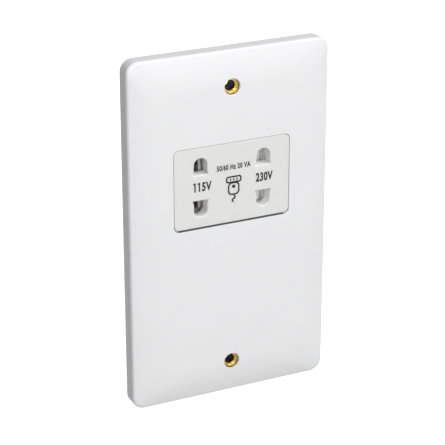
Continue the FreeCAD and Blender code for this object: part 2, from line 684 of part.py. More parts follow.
def core_e_stack():
    """E-shaped stack of iron sheets, with its legs down."""
    depth = about(CORE_Y, STACK / 2)
    body = block(about(0, CORE_HALF_X), depth, (WINDOW_FOOT, CORE_TOP))
    windows = []
    for side in SIDES:
        window_x = about(side * WINDOW_X, CORE_UNIT / 2)
        windows.append(block(window_x, depth, (WINDOW_FOOT, WINDOW_TOP)))
    return body.cut(windows)


def core_i_stack():
    """Straight stack that closes the legs of the E."""
    return block(about(0, CORE_HALF_X), about(CORE_Y, STACK / 2), (CORE_FOOT, WINDOW_FOOT))


def core_clamp():
    """Steel strip folded round the core."""
    stand_off = CLAMP_GAP + CLAMP_STRIP / 2
    side = CORE_HALF_X + stand_off
    top = CORE_TOP + stand_off
    foot = CORE_FOOT - stand_off
    tab = side - CLAMP_TAB
    route = [(-tab, top), (-side, top), (-side, foot), (side, foot), (side, top), (tab, top)]
    points = [vec(x, CORE_Y, z) for x, z in route]
    return strip(points, CLAMP_CORNER + CLAMP_STRIP / 2, INTO_WALL, CLAMP_WIDTH, CLAMP_STRIP)


def coil_former():
    """Square tube on the middle leg, with three flanges that part the windings."""
    outer_x = TUBE_X + FORMER_WALL
    outer_y = TUBE_Y + FORMER_WALL
    tube = block(about(0, outer_x), about(CORE_Y, outer_y), (FORMER_FOOT, FORMER_TOP))
    flanges = []
    for foot in (FORMER_FOOT, FORMER_MIDDLE - FORMER_WALL / 2, FORMER_TOP - FORMER_WALL):
        flanges.append(block(about(0, FLANGE_X), about(CORE_Y, FLANGE_Y), (foot, foot + FORMER_WALL)))
    bore = block(about(0, TUBE_X), about(CORE_Y, TUBE_Y), (FORMER_FOOT, FORMER_TOP))
    return tube.fuse(flanges).cut(bore)


def winding(z_range):
    """One coil of wire, as wound on the former."""
    coil = column(z_range, WINDING_X, WINDING_Y, WINDING_CORNER)
    return coil.cut(block(about(0, TUBE_X + FORMER_WALL), about(CORE_Y, TUBE_Y + FORMER_WALL), z_range))


def thermal_cutout():
    """Overload cut-out, bound to the front of the primary winding."""
    bay_middle = (FORMER_TOP + FORMER_MIDDLE) / 2
    back = CORE_Y - WINDING_Y
    depth = (back - CUTOUT_THICKNESS, back)
    return slab(depth, bay_middle, CUTOUT_WIDTH / 2, CUTOUT_HEIGHT / 2, CUTOUT_CORNER)


def terminal_places():
    return [step * TERMINAL_PITCH for step in (-1, 0, 1)]


def terminal_block():
    """Insulating block with three open cells, screwed to the back of the housing."""
    depth = (UPPER_BACK, BLOCK_BACK)
    body = block(about(0, BLOCK_X), depth, (BLOCK_FOOT, BLOCK_TOP))
    lug_depth = (UPPER_BACK, BLOCK_LUG_BACK)
    lugs = []
    cuts = []
    for side in SIDES:
        lugs.append(rod(BLOCK_LUG_RADIUS, side * BLOCK_LUG_X, BLOCK_LUG_Z, lug_depth))
        bridge_x = sorted((side * (BLOCK_X - BLOCK_SIDE), side * BLOCK_LUG_X))
        lugs.append(block(bridge_x, lug_depth, about(BLOCK_LUG_Z, BLOCK_LUG_RADIUS)))
        cuts.append(bar(HOUSING_SCREW + SCREW_GAP, side * BLOCK_LUG_X, BLOCK_LUG_Z, lug_depth))
    cell_half = TERMINAL_WIDTH / 2 + TERMINAL_GAP
    for x in terminal_places():
        cell_z = (TERMINAL_FOOT, BLOCK_TOP + CUT_SPARE)
        cuts.append(block(about(x, cell_half), (TERMINAL_FRONT, BLOCK_BACK), cell_z))
    for x in terminal_places()[:2]:
        tag_x = about(x, LEAD_TAG / 2 + TAG_GAP)
        cuts.append(block(tag_x, (UPPER_BACK, TERMINAL_FRONT), about(TERMINAL_Z, TAG_WIDTH / 2 + TAG_GAP)))
    branch_depth = (BRANCH_Y - STRAP / 2 - RUN_GAP, BLOCK_BACK)
    branch_z = (TERMINAL_Z - BRANCH_WIDTH / 2 - RUN_GAP, BLOCK_TOP)
    cuts.append(block((TERMINAL_PITCH, BLOCK_X), branch_depth, branch_z))
    return body.fuse(lugs).cut(cuts)


def terminal_block_screws():
    tip = BLOCK_LUG_BACK - BLOCK_SCREW_LENGTH
    screws = []
    for side in SIDES:
        x = side * BLOCK_LUG_X
        screws.append(screw(x, BLOCK_LUG_Z, HOUSING_HEAD, HEAD_HEIGHT, HOUSING_SCREW, BLOCK_LUG_BACK, tip))
    return Part.makeCompound(screws)


def terminal(x, with_tag):
    """Brass block with an upright wire hole and a clamping screw from the back."""
    z_range = (TERMINAL_FOOT, TERMINAL_FOOT + TERMINAL_HEIGHT)
    body = block(about(x, TERMINAL_WIDTH / 2), (TERMINAL_FRONT, TERMINAL_BACK), z_range)
    if with_tag:
        tag_x = about(x, LEAD_TAG / 2)
        body = body.fuse(block(tag_x, (LEAD_TAG_END, TERMINAL_FRONT), about(TERMINAL_Z, TAG_WIDTH / 2)))
    wire_hole = Part.makeCylinder(WIRE_HOLE, TERMINAL_HEIGHT, vec(x, TERMINAL_Y, TERMINAL_FOOT), UP)
    screw_hole = bar(CLAMP_SCREW + PILOT_GAP, x, TERMINAL_Z, (TERMINAL_Y, TERMINAL_BACK))
    return body.cut([wire_hole, screw_hole])


def terminal_screws():
    """Clamping screws, backed off clear of the wire holes."""
    tip = TERMINAL_Y + WIRE_HOLE
    screws = []
    for x in terminal_places():
        screws.append(screw(x, TERMINAL_Z, CLAMP_HEAD, CLAMP_HEAD_HEIGHT, CLAMP_SCREW, TERMINAL_BACK, tip))
    return Part.makeCompound(screws)


def housing_form(half_x, top, upper_back, step, lower_back, foot):
    """Stepped box: shallow behind the socket, deep behind the transformer."""
    profile = [(LIP_BACK, top), (upper_back, top), (upper_back, step), (lower_back, step)]
    profile += [(lower_back, foot), (LIP_BACK, foot)]
    return prism([vec(-half_x, y, z) for y, z in profile], ACROSS * (2 * half_x))


def rear_housing():
    """Closed box behind the plate, with screw lugs, core ribs and bosses for the terminal block."""
    body = housing_form(HOUSING_X, HOUSING_TOP, UPPER_BACK, STEP_TOP, LOWER_BACK, HOUSING_FOOT)
    lengthwise = [edge for edge in body.Edges if edge.BoundBox.XLength > 2 * INNER_X]
    rounded = [edge for edge in lengthwise if edge.BoundBox.YMax > LIP_BACK + TOUCH]
    body = body.makeFillet(HOUSING_CORNER, rounded)
    lug_depth = (LUG_FRONT, LUG_BACK)
    lugs = []
    cuts = []
    for (x, z), wall in zip(LUG_PLACES, (INNER_TOP, INNER_FOOT)):
        lugs.append(rod(LUG_RADIUS, x, z, lug_depth))
        lugs.append(block(about(x, LUG_RADIUS), lug_depth, sorted((wall, z))))
        cuts.append(bar(HOUSING_SCREW + SCREW_GAP, x, z, lug_depth))
    inner = housing_form(INNER_X, INNER_TOP, UPPER_WALL, STEP_FOOT, LOWER_WALL, INNER_FOOT)
    inside = []
    boss_depth = (UPPER_BACK - BLOCK_BOSS_DEPTH, UPPER_BACK)
    for side in SIDES:
        rib_x = about(side * POST_X, CORE_RIB / 2)
        inside.append(block(rib_x, (CORE_BACK + SEAT_GAP, LOWER_WALL), (INNER_FOOT, CORE_TOP)))
        inside.append(rod(BLOCK_LUG_RADIUS, side * BLOCK_LUG_X, BLOCK_LUG_Z, boss_depth).common(inner))
        pilot = (BLOCK_LUG_BACK - BLOCK_SCREW_LENGTH - THREAD_END, UPPER_BACK)
        cuts.append(bar(HOUSING_SCREW + PILOT_GAP, side * BLOCK_LUG_X, BLOCK_LUG_Z, pilot))
    for x in terminal_places()[:2]:
        tag_x = about(x, LEAD_TAG / 2 + TAG_GAP)
        cuts.append(block(tag_x, (UPPER_WALL, UPPER_BACK), about(TERMINAL_Z, TAG_WIDTH / 2 + TAG_GAP)))
    return body.fuse(lugs).cut(inner).fuse(inside).cut(cuts).removeSplitter()


def housing_screws():
    tip = LUG_BACK - HOUSING_SCREW_LENGTH
    screws = []
    for x, z in LUG_PLACES:
        screws.append(screw(x, z, HOUSING_HEAD, HEAD_HEIGHT, HOUSING_SCREW, LUG_BACK, tip))
    return Part.makeCompound(screws)


def lead_routes():
    """Wires from the terminals to the coil, and from the coil to the contacts."""
    tag_foot = TERMINAL_Z - TAG_WIDTH / 2
    back_y = LEAD_TAG_END + LEAD_RADIUS
    passage_z = STEP_FOOT - LEAD_RADIUS - LEAD_GAP
    coil_front = CORE_FRONT - LEAD_RADIUS - FRONT_LEAD_SPACE
    coil_back = CORE_BACK + LEAD_RADIUS + BACK_LEAD_SPACE
    cutout_y = CORE_Y - WINDING_Y - CUTOUT_THICKNESS / 2
    cutout_z = (FORMER_TOP + FORMER_MIDDLE) / 2
    live_x = -TERMINAL_PITCH
    live = [vec(live_x, back_y, tag_foot), vec(live_x, back_y, passage_z), vec(live_x, cutout_y, passage_z)]
    live += [vec(live_x, cutout_y, cutout_z), vec(-CUTOUT_WIDTH / 2, cutout_y, cutout_z)]
    neutral = [vec(0, back_y, tag_foot), vec(0, back_y, passage_z), vec(0, coil_front, passage_z)]
    neutral.append(vec(0, coil_front, FORMER_TOP))
    link_z = SOCKET_Z + CLIP_Z
    common = [vec(COMMON_LEAD_X, CARRIER_BACK + STRIP, link_z), vec(COMMON_LEAD_X, back_y, link_z)]
    routes = {"live_lead": live, "neutral_lead": neutral, "common_lead": common}
    lower_y = CARRIER_BACK + TAG_REACH - LEAD_RADIUS
    lower_z = SOCKET_Z - CLIP_Z
    tag_x = PAIR_X - STRIP / 2
    routes["lead_115v"] = [vec(-tag_x, lower_y, lower_z), vec(LEAD_115V_X, lower_y, lower_z)]
    routes["lead_230v"] = [vec(tag_x, lower_y, lower_z), vec(LEAD_230V_X, lower_y, lower_z)]
    for name in ("common_lead", "lead_115v", "lead_230v"):
        last = routes[name][-1]
        routes[name] += [vec(last.x, last.y, passage_z), vec(last.x, coil_back, passage_z)]
        routes[name].append(vec(last.x, coil_back, FORMER_TOP))
    return routes


def all_pieces():
    """Every piece of the socket, by name."""
    pieces = {
        "front_plate": front_plate(),
        "socket_insert": socket_insert(),
        "interlock_shutter": interlock_shutter(),
        "contact_carrier": contact_carrier(),
        "carrier_screws": carrier_screws(),
        "contact_115v_upper": contact(-1, 1),
        "contact_115v_lower": contact(-1, -1),
        "contact_230v_upper": contact(1, 1),
        "contact_230v_lower": contact(1, -1),
        "common_link": common_link(),
        "upper_fixing_bush": fixing_bush(1),
        "lower_fixing_bush": fixing_bush(-1),
        "earth_strap": earth_strap(),
        "core_e_stack": core_e_stack(),
        "core_i_stack": core_i_stack(),
        "core_clamp": core_clamp(),
        "coil_former": coil_former(),
        "primary_winding": winding((FORMER_MIDDLE + FORMER_WALL / 2, FORMER_TOP - FORMER_WALL)),
        "secondary_winding": winding((FORMER_FOOT + FORMER_WALL, FORMER_MIDDLE - FORMER_WALL / 2)),
        "thermal_cutout": thermal_cutout(),
        "terminal_block": terminal_block(),
        "terminal_block_screws": terminal_block_screws(),
        "live_terminal": terminal(-TERMINAL_PITCH, True),
        "neutral_terminal": terminal(0, True),
        "earth_terminal": terminal(TERMINAL_PITCH, False),
        "terminal_screws": terminal_screws(),
        "rear_housing": rear_housing(),
        "housing_screws": housing_screws(),
    }
    for name, points in lead_routes().items():
        pieces[name] = lead(points)
    return pieces


def main():
    os.makedirs("parts", exist_ok=True)
    for name, shape in all_pieces().items():
        shape.exportStep(os.path.join("parts", name + ".step"))


main()
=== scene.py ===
import json
import math

import bpy
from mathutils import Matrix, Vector


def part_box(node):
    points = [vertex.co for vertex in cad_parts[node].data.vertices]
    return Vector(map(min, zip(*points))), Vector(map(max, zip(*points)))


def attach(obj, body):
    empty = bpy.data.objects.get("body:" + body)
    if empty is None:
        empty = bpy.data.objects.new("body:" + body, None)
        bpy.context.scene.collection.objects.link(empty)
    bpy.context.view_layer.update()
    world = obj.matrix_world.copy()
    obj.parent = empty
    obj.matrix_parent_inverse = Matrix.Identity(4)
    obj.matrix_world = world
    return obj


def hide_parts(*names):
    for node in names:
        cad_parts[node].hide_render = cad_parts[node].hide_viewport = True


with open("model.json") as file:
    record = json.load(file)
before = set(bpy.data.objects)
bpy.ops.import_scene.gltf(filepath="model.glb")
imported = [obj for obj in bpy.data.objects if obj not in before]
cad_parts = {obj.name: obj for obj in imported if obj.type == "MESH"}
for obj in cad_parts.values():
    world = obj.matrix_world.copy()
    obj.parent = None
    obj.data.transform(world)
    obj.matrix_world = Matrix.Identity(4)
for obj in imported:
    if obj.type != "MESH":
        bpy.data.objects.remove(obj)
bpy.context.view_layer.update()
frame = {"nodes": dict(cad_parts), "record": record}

MM = 0.001
BODY = "socket"

# Places taken from the solids
PLATE_LOW, PLATE_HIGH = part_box("front_plate")
INSERT_LOW, INSERT_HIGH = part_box("socket_insert")
BUSH_LOW, BUSH_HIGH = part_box("upper_fixing_bush")
SHUTTER_LOW, SHUTTER_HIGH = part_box("interlock_shutter")
HOUSING_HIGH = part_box("rear_housing")[1]
BLOCK_LOW, BLOCK_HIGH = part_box("terminal_block")
SLOT_OF = {row["node"]: row["material_slot"] for row in frame["record"]["subparts"]}
FRONT = PLATE_LOW.y
SOCKET_Z = (SHUTTER_LOW.z + SHUTTER_HIGH.z) / 2
FIXING_Z = (BUSH_LOW.z + BUSH_HIGH.z) / 2

# Front plate
PLATE_EDGE = 5.4 * MM        # lower than the solid's own edge, with a softer crown
EDGE_ROUND = 1.5 * MM
CROWN_SLOPE = math.radians(17)
CORNER_RADIUS = 5.2 * MM
CROWN_CORNER = 11.0 * MM
PLATE_SKIN = 2.5 * MM
RIM_WALL = 2.4 * MM
EDGE_STEPS = 10
CROWN_STEPS = 8
CORNER_STEPS = 12
RING_SPREAD = 20.0 * MM      # between outlines while they are joined
WINDOW_LIP = 0.15 * MM
WINDOW_GAP = 0.22 * MM       # beside and above the insert
WINDOW_FOOT_GAP = 0.8 * MM

# Socket insert
INSERT_HALF = (25.5 * MM, 17.0 * MM)
INSERT_CORNER = 2.2 * MM
INSERT_LIP = 0.3 * MM
# Dark strip in the foot gap of the insert: painted shadow
SHADOW_STRIP_SETBACK = 0.2 * MM
SHADOW_STRIP_HEIGHT = 0.45 * MM
FACE_WALL = 2.2 * MM
CORING_HALF = (8.5 * MM, 11.7 * MM)
POCKET_DEPTH = 5.0 * MM

# Plug apertures
PAIR_X = 13.9 * MM
APERTURE_FOOT_HALF = 3.5 * MM
APERTURE_RADIUS = 2.9 * MM
APERTURE_BASE = 5.5 * MM
APERTURE_FOOT = 1.4 * MM
APERTURE_TIP = 12.5 * MM
APERTURE_ROUND = 0.999 * APERTURE_RADIUS    # leaves a short edge at the tip
MOUTH_LIP = 0.4 * MM

# Fixing bushes
BUSH_RADIUS = 3.6 * MM
BUSH_GAP = 0.05 * MM
BUSH_MOUTH = 3.2 * MM
BUSH_MOUTH_DEPTH = 1.7 * MM
BUSH_SEAT = 2.75 * MM
BUSH_SEAT_DEPTH = 0.6 * MM
BUSH_BORE = 2.1 * MM
BUSH_EDGE = 0.15 * MM
BUSH_GROOVES = 2
GROOVE_DEPTH = 0.16 * MM
GROOVE = ((0.4, 0), (0.6, GROOVE_DEPTH), (0.9, GROOVE_DEPTH), (1.1, 0))    # share of the pitch, depth
BUSH_SETBACK = 0.5 * MM      # behind the solid's own front, so that the plate's lip shows
HOLE_RADIUS = 3.35 * MM
HOLE_LIP = 0.5 * MM
BUSH_SIDES = 64

# Print on the face, placed from the centre of the socket
INK_DEPTH = 0.03 * MM
INK_PROUD = 0.02 * MM
VOLTS_CAP = 3.9 * MM
VOLTS_WIDTH = 7.6 * MM
VOLTS_LEFT = ("115V", (-13.0 * MM, 0.4 * MM))
VOLTS_RIGHT = ("230V", (14.3 * MM, 0.4 * MM))
RATING_CAP = 2.4 * MM
RATING_WIDTH = 15.0 * MM
RATING = ("50/60 Hz 20 VA", (0.6 * MM, 6.9 * MM))
LETTER_STEPS = 6
LETTER_WEIGHT = 0.042        # share of the type size added round each letter
LETTER_SPACING = 1.12
FLAG_REACH = 0.75 * MM
FLAG_STROKE = 0.5 * MM
FLAG_TURN = math.radians(38)
LETTER_WELD = 0.0004 * MM

# Shaver sign, placed from its own middle
SIGN_MIDDLE = (0.6 * MM, -2.2 * MM)
SIGN_STROKE = 0.7 * MM
SIGN_HEAD_HALF = (3.5 * MM, 1.5 * MM)
SIGN_HEAD_CORNER = 1.1 * MM
SIGN_HEAD_RISE = 3.6 * MM
SIGN_FOIL_HALF = (0.28 * MM, 0.5 * MM)
SIGN_FOIL_CORNER = 0.25 * MM
SIGN_FOIL_PITCH = 1.4 * MM
SIGN_BODY_HALF = (2.6 * MM, 2.85 * MM)
SIGN_BODY_CORNER = 1.9 * MM
SIGN_BODY_DROP = 0.35 * MM
SIGN_SWITCH_RADIUS = 0.75 * MM
SIGN_SWITCH_RISE = 0.55 * MM
SIGN_LEAD_DROP = 3.2 * MM
SIGN_LEAD_SWING = 0.95 * MM

# Screws, each with the height of its head and the radius of its shank
SMALL_SCREW = (1.8 * MM, 1.25 * MM)
CLAMP_SCREW = (1.2 * MM, 1.5 * MM)
SCREW_SIDES = 32
SCREW_TIP = 0.5              # share of the shank's radius
THREAD_PITCH = 0.8 * MM
THREAD_DEPTH = 0.22 * MM
HEAD_SIDE = 0.45             # share of the head's height below its dome
HEAD_CROWN = 0.45            # share of the head's radius that its dome doesn't take in
DOME_TURN = math.radians(75)
HEAD_SLOT = 0.8 * MM
SLOT_DEPTH = 0.6             # share of the head's height
SLOT_REACH = 1.2             # share of the head's radius
CROSS_REACH = 0.72

# Rear
EASED_SOLIDS = (
    ("rear_housing", "housing_moulding", 0.4 * MM, BODY),
    ("terminal_block", "block_moulding", 0.25 * MM, BODY),
    ("live_terminal", "live_clamp", 0.25 * MM, BODY),
    ("neutral_terminal", "neutral_clamp", 0.25 * MM, BODY),
    ("earth_terminal", "earth_clamp", 0.25 * MM, BODY),
    ("earth_strap", "earth_strip", 0.1 * MM, BODY),
    ("interlock_shutter", "shutter_moulding", 0.2 * MM, "shutter"),
    ("contact_carrier", "carrier_moulding", 0.2 * MM, BODY),
)
TERMINAL_LETTERS = (("L", "live_terminal"), ("N", "neutral_terminal"), ("E", "earth_terminal"))
LETTER_CAP = 3.0 * MM
LETTER_WIDTH = 0.7 * LETTER_CAP
LETTER_RISE = 0.3 * MM
LUG_REACH = 6.2 * MM         # screw lugs past the top wall of the housing

# Camera and light
PICTURE_PIXELS = 445
FOCAL_PIXELS = 1715
AIM_PIXELS = (5.0, 2.1)      # how far right and down of the picture's middle the plate stands
CAMERA_AZIMUTH = math.radians(-25.473)
CAMERA_HEIGHT = math.radians(22.855)
CAMERA_DISTANCE = 700 * MM
SENSOR_WIDTH = 36.0
LAMPS = {
    "key": ((0.66, -0.75, 1.40), (0.8, 0.8), 15),
    "front_fill": ((-0.38, -1.77, 0.59), (0.5, 0.5), 22),
    "rear_fill": ((0.3, 1.0, -0.05), (0.6, 0.2), 6),
}
SOFT_LIGHT = 0.19
FLOOR_SIZE = 8.0
FLOOR_DROP = 120 * MM        # below the foot of the plate
FLOOR_TONE = 0.3
FLOOR_ROUGHNESS = 0.9
FLOOR_LIFT = 0.93            # glow that makes the floor white to the eye

# Modelling
LIP_STEPS = 4
FLARE_TURN = math.radians(80)
EASE_ANGLE = math.radians(30)
EASE_STEPS = 2
SMOOTH_ANGLE = math.radians(32)
FLAT_ANGLE = math.radians(0.05)
SPARE = 1.0 * MM             # how far a cutter reaches past what it cuts
WELD = 0.002 * MM
SINK = 0.05 * MM             # keeps joined surfaces from nearly meeting

SKIN_BACK = FRONT + PLATE_SKIN
BACK_JOIN = SKIN_BACK - 3 * SINK    # behind this the plate's back is the solid's own


def fresh():
    """Object mode with nothing selected."""
    if bpy.context.object and bpy.context.object.mode != "OBJECT":
        bpy.ops.object.mode_set(mode="OBJECT")
    bpy.ops.object.select_all(action="DESELECT")


def take(*pieces):
    """Selects these pieces alone, with the first as the active one."""
    fresh()
    for piece in pieces:
        piece.select_set(True)
    bpy.context.view_layer.objects.active = pieces[0]


def edit(piece):
    """Edit mode on one piece, with everything in it selected."""
    take(piece)
    bpy.ops.object.mode_set(mode="EDIT")
    bpy.ops.mesh.select_mode(type="VERT")
    bpy.ops.mesh.select_all(action="SELECT")


def done():
    """Back to object mode."""
    bpy.ops.object.mode_set(mode="OBJECT")


def pick(piece, test):
    """Edit mode on one piece, with the vertices selected that pass a test on their number and place."""
    take(piece)
    bpy.ops.object.mode_set(mode="EDIT")
    bpy.ops.mesh.select_mode(type="VERT")
    bpy.ops.mesh.select_all(action="DESELECT")
    bpy.ops.object.mode_set(mode="OBJECT")
    for vertex in piece.data.vertices:
        vertex.select = test(vertex.index, vertex.co)
    bpy.ops.object.mode_set(mode="EDIT")


def face_out(piece):
    """Turns the faces of a closed piece outwards."""
    edit(piece)
    bpy.ops.mesh.normals_make_consistent(inside=False)
    done()


def settle():
    """Puts the place, turn and size of the active piece into its mesh."""
    bpy.ops.object.transform_apply(location=True, rotation=True, scale=True)


def rounded_face(y, centre, half, radius):
    """Flat rounded rectangle that looks to the front."""
    fresh()
    place = (centre[0], y, centre[1])
    bpy.ops.mesh.primitive_plane_add(size=2, location=place, rotation=(math.pi / 2, 0, 0))
    face = bpy.context.object
    face.scale = (half[0], half[1], 1)
    settle()
    edit(face)
    bpy.ops.mesh.bevel(offset=radius, offset_type="OFFSET", segments=CORNER_STEPS, affect="VERTICES")
    done()
    return face


def round_face(y, centre, radius, sides=BUSH_SIDES, fill="NGON"):
    """Flat disc, or a bare ring, that looks to the front."""
    fresh()
    bpy.ops.mesh.primitive_circle_add(vertices=sides, radius=radius, fill_type=fill,
                                      location=(centre[0], y, centre[1]), rotation=(math.pi / 2, 0, 0))
    settle()
    return bpy.context.object


def drawn_out(face, centre, half, stations):
    """Extrudes a face to each (depth, growth) in turn, with its outline that much wider on each side."""
    edit(face)
    now = 0.0
    depth = face.data.vertices[0].co.y
    for y, growth in stations:
        bpy.ops.mesh.extrude_region_move(TRANSFORM_OT_translate={"value": (0, y - depth, 0)})
        scale = [(size + growth) / (size + now) for size in half]
        middle = (centre[0], y, centre[1])
        bpy.ops.transform.resize(value=(scale[0], 1, scale[1]), center_override=middle)
        now = growth
        depth = y
    done()
    face_out(face)
    return face


def flared(lip):
    """Stations of a cutter whose mouth at the front flares in a quarter round."""
    stations = [(FRONT + lip, 0)]
    for step in range(1, LIP_STEPS + 1):
        angle = FLARE_TURN * step / LIP_STEPS
        stations.append((FRONT + lip * (1 - math.sin(angle)), lip * (1 - math.cos(angle))))
    stations.append((FRONT - SPARE, lip))
    return stations


def apply_all(piece):
    """Applies the modifiers of a piece."""
    take(piece)
    for modifier in list(piece.modifiers):
        bpy.ops.object.modifier_apply(modifier=modifier.name)


def carve(piece, tool, operation="DIFFERENCE"):
    """Boolean of a piece with a tool, which is used up."""
    cut = piece.modifiers.new("cut", "BOOLEAN")
    cut.operation = operation
    cut.object = tool
    cut.solver = "EXACT"
    apply_all(piece)
    bpy.data.objects.remove(tool)


def solid_copy(node):
    """Copy of a solid with its corners joined and its flat faces whole."""
    copy = frame["nodes"][node].copy()
    copy.data = copy.data.copy()
    copy.parent = None
    for mark in list(copy.keys()):
        del copy[mark]
    bpy.context.scene.collection.objects.link(copy)
    edit(copy)
    bpy.ops.mesh.customdata_custom_splitnormals_clear()
    bpy.ops.mesh.remove_doubles(threshold=WELD)
    bpy.ops.mesh.dissolve_limited(angle_limit=FLAT_ANGLE)
    done()
    return copy


def box_between(low, high):
    """Block between two corners."""
    fresh()
    low, high = Vector(low), Vector(high)
    bpy.ops.mesh.primitive_cube_add(size=1, location=(low + high) / 2)
    block = bpy.context.object
    block.scale = high - low
    settle()
    return block


def eased(piece, width):
    """Rounds the sharp edges a little."""
    bevel = piece.modifiers.new("ease", "BEVEL")
    bevel.width = width
    bevel.segments = EASE_STEPS
    bevel.limit_method = "ANGLE"
    bevel.angle_limit = EASE_ANGLE
    apply_all(piece)


def smooth(piece):
    """Smooth shading with flat faces kept flat."""
    take(piece)
    bpy.ops.object.shade_smooth_by_angle(angle=SMOOTH_ANGLE)
    weigh = piece.modifiers.new("weigh", "WEIGHTED_NORMAL")
    weigh.keep_sharp = True
    apply_all(piece)


def finished(piece, name, look, body=BODY, stands_for=()):
    """Names a piece, gives it its finish and fixes it to its body."""
    piece.name = name
    piece.data.name = name
    piece.data.materials.clear()
    piece.data.materials.append(look)
    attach(piece, body)
    if stands_for:
        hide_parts(*stands_for)


def copied(piece, shift):
    """Copy of a piece with a mesh of its own, moved by a shift."""
    twin = piece.copy()
    twin.data = piece.data.copy()
    bpy.context.scene.collection.objects.link(twin)
    edit(twin)
    bpy.ops.transform.translate(value=shift)
    done()
    return twin


def joined(pieces):
    """One piece out of several."""
    take(*pieces)
    if len(pieces) > 1:
        bpy.ops.object.join()
    return pieces[0]


# Finishes
PATCH_RANGE = (0.3, 0.7)     # where uneven patches go from one tone to the other
PATCH_DETAIL = 3.0
PLASTIC_MOTTLE = 45.0
PLASTIC_GLOSS = (160.0, 0.9, 1.12)    # scale of the patches, least and most share of the roughness
PLASTIC_GRAIN = 900.0
PLASTIC_GRAIN_DETAIL = 2.0
PLASTIC_GRAIN_STRENGTH = 0.25
PLASTIC_IOR = 1.49
MILKY_RADIUS = (1.0, 1.0, 0.95)
MILKY_DEPTH = 2.5 * MM
METAL_STAIN = 220.0
METAL_STAIN_SHADE = 0.82
METAL_GLOSS = (420.0, 0.8, 1.3)
METAL_LINES = 1500.0
METAL_LINE_WAVER = 0.6
METAL_LINE_STRENGTH = 0.35
METAL_LINE_DEPTH = 0.01 * MM
STRIPE_GLOSS = (300.0, 0.85, 1.15)
STRIPE_STRENGTH = 0.6
IRON_TONES = ((0.07, 0.07, 0.075), (0.20, 0.20, 0.21))
WIRE_TONES = ((0.20, 0.06, 0.02), (0.55, 0.20, 0.07))


def shader_of(name):
    """New material, its node tree and its main shader."""
    look = bpy.data.materials.new(name)
    look.use_nodes = True
    tree = look.node_tree
    return look, tree, tree.nodes["Principled BSDF"]


def object_place(tree):
    """Object coordinates, which are metres in the part's own frame."""
    return tree.nodes.new("ShaderNodeTexCoord").outputs["Object"]


def cloud(tree, place, scale, detail=PATCH_DETAIL):
    """Soft uneven patches, with more of them to the metre at a larger scale."""
    noise = tree.nodes.new("ShaderNodeTexNoise")
    noise.inputs["Scale"].default_value = scale
    noise.inputs["Detail"].default_value = detail
    tree.links.new(place, noise.inputs["Vector"])
    return noise.outputs["Fac"]


def bands(tree, place, scale, direction, waver=0.0):
    """Even lines across one axis, straight or wavering."""
    wave = tree.nodes.new("ShaderNodeTexWave")
    wave.bands_direction = direction
    wave.inputs["Scale"].default_value = scale
    wave.inputs["Distortion"].default_value = waver
    tree.links.new(place, wave.inputs["Vector"])
    return wave.outputs["Fac"]


def between(tree, factor, low, high, socket):
    """Runs a number on a socket between two values."""
    spread = tree.nodes.new("ShaderNodeMapRange")
    spread.inputs["From Min"].default_value = PATCH_RANGE[0]
    spread.inputs["From Max"].default_value = PATCH_RANGE[1]
    spread.inputs["To Min"].default_value = low
    spread.inputs["To Max"].default_value = high
    tree.links.new(factor, spread.inputs["Value"])
    tree.links.new(spread.outputs["Result"], socket)


def tones(tree, factor, colours, socket):
    """Runs a colour on a socket between two tones."""
    ramp = tree.nodes.new("ShaderNodeValToRGB")
    for element, colour, position in zip(ramp.color_ramp.elements, colours, PATCH_RANGE):
        element.color = (*colour, 1)
        element.position = position
    tree.links.new(factor, ramp.inputs["Fac"])
    tree.links.new(ramp.outputs["Color"], socket)


def relief(tree, shader, height, strength, distance):
    """Fine relief in the surface, down to a given depth."""
    bump = tree.nodes.new("ShaderNodeBump")
    bump.inputs["Strength"].default_value = strength
    bump.inputs["Distance"].default_value = distance
    tree.links.new(height, bump.inputs["Height"])
    tree.links.new(bump.outputs["Normal"], shader.inputs["Normal"])


def shade_of(colour, factor):
    """A darker shade of a colour."""
    return tuple(channel * factor for channel in colour)


def uneven_gloss(tree, shader, place, roughness, gloss):
    """Roughness that runs up and down a little in small patches."""
    scale, least, most = gloss
    patches = cloud(tree, place, scale)
    between(tree, patches, roughness * least, roughness * most, shader.inputs["Roughness"])


def moulded(name, colour, roughness, mottle=0.985, grain=0.02 * MM, milky=0.0):
    """Moulded plastic: faint mottle, uneven gloss and a fine skin, and milky where light soaks in."""
    look, tree, shader = shader_of(name)
    place = object_place(tree)
    patches = cloud(tree, place, PLASTIC_MOTTLE)
    tones(tree, patches, (shade_of(colour, mottle), colour), shader.inputs["Base Color"])
    uneven_gloss(tree, shader, place, roughness, PLASTIC_GLOSS)
    skin = cloud(tree, place, PLASTIC_GRAIN, PLASTIC_GRAIN_DETAIL)
    relief(tree, shader, skin, PLASTIC_GRAIN_STRENGTH, grain)
    shader.inputs["IOR"].default_value = PLASTIC_IOR
    shader.inputs["Subsurface Weight"].default_value = milky
    shader.inputs["Subsurface Radius"].default_value = MILKY_RADIUS
    shader.inputs["Subsurface Scale"].default_value = MILKY_DEPTH
    return look


def drawn_metal(name, colour, roughness, direction="Y"):
    """Turned or drawn metal: fine lines along one axis and small stains."""
    look, tree, shader = shader_of(name)
    place = object_place(tree)
    patches = cloud(tree, place, METAL_STAIN)
    tones(tree, patches, (shade_of(colour, METAL_STAIN_SHADE), colour), shader.inputs["Base Color"])
    uneven_gloss(tree, shader, place, roughness, METAL_GLOSS)
    lines = bands(tree, place, METAL_LINES, direction, METAL_LINE_WAVER)
    relief(tree, shader, lines, METAL_LINE_STRENGTH, METAL_LINE_DEPTH)
    shader.inputs["Metallic"].default_value = 1.0
    return look


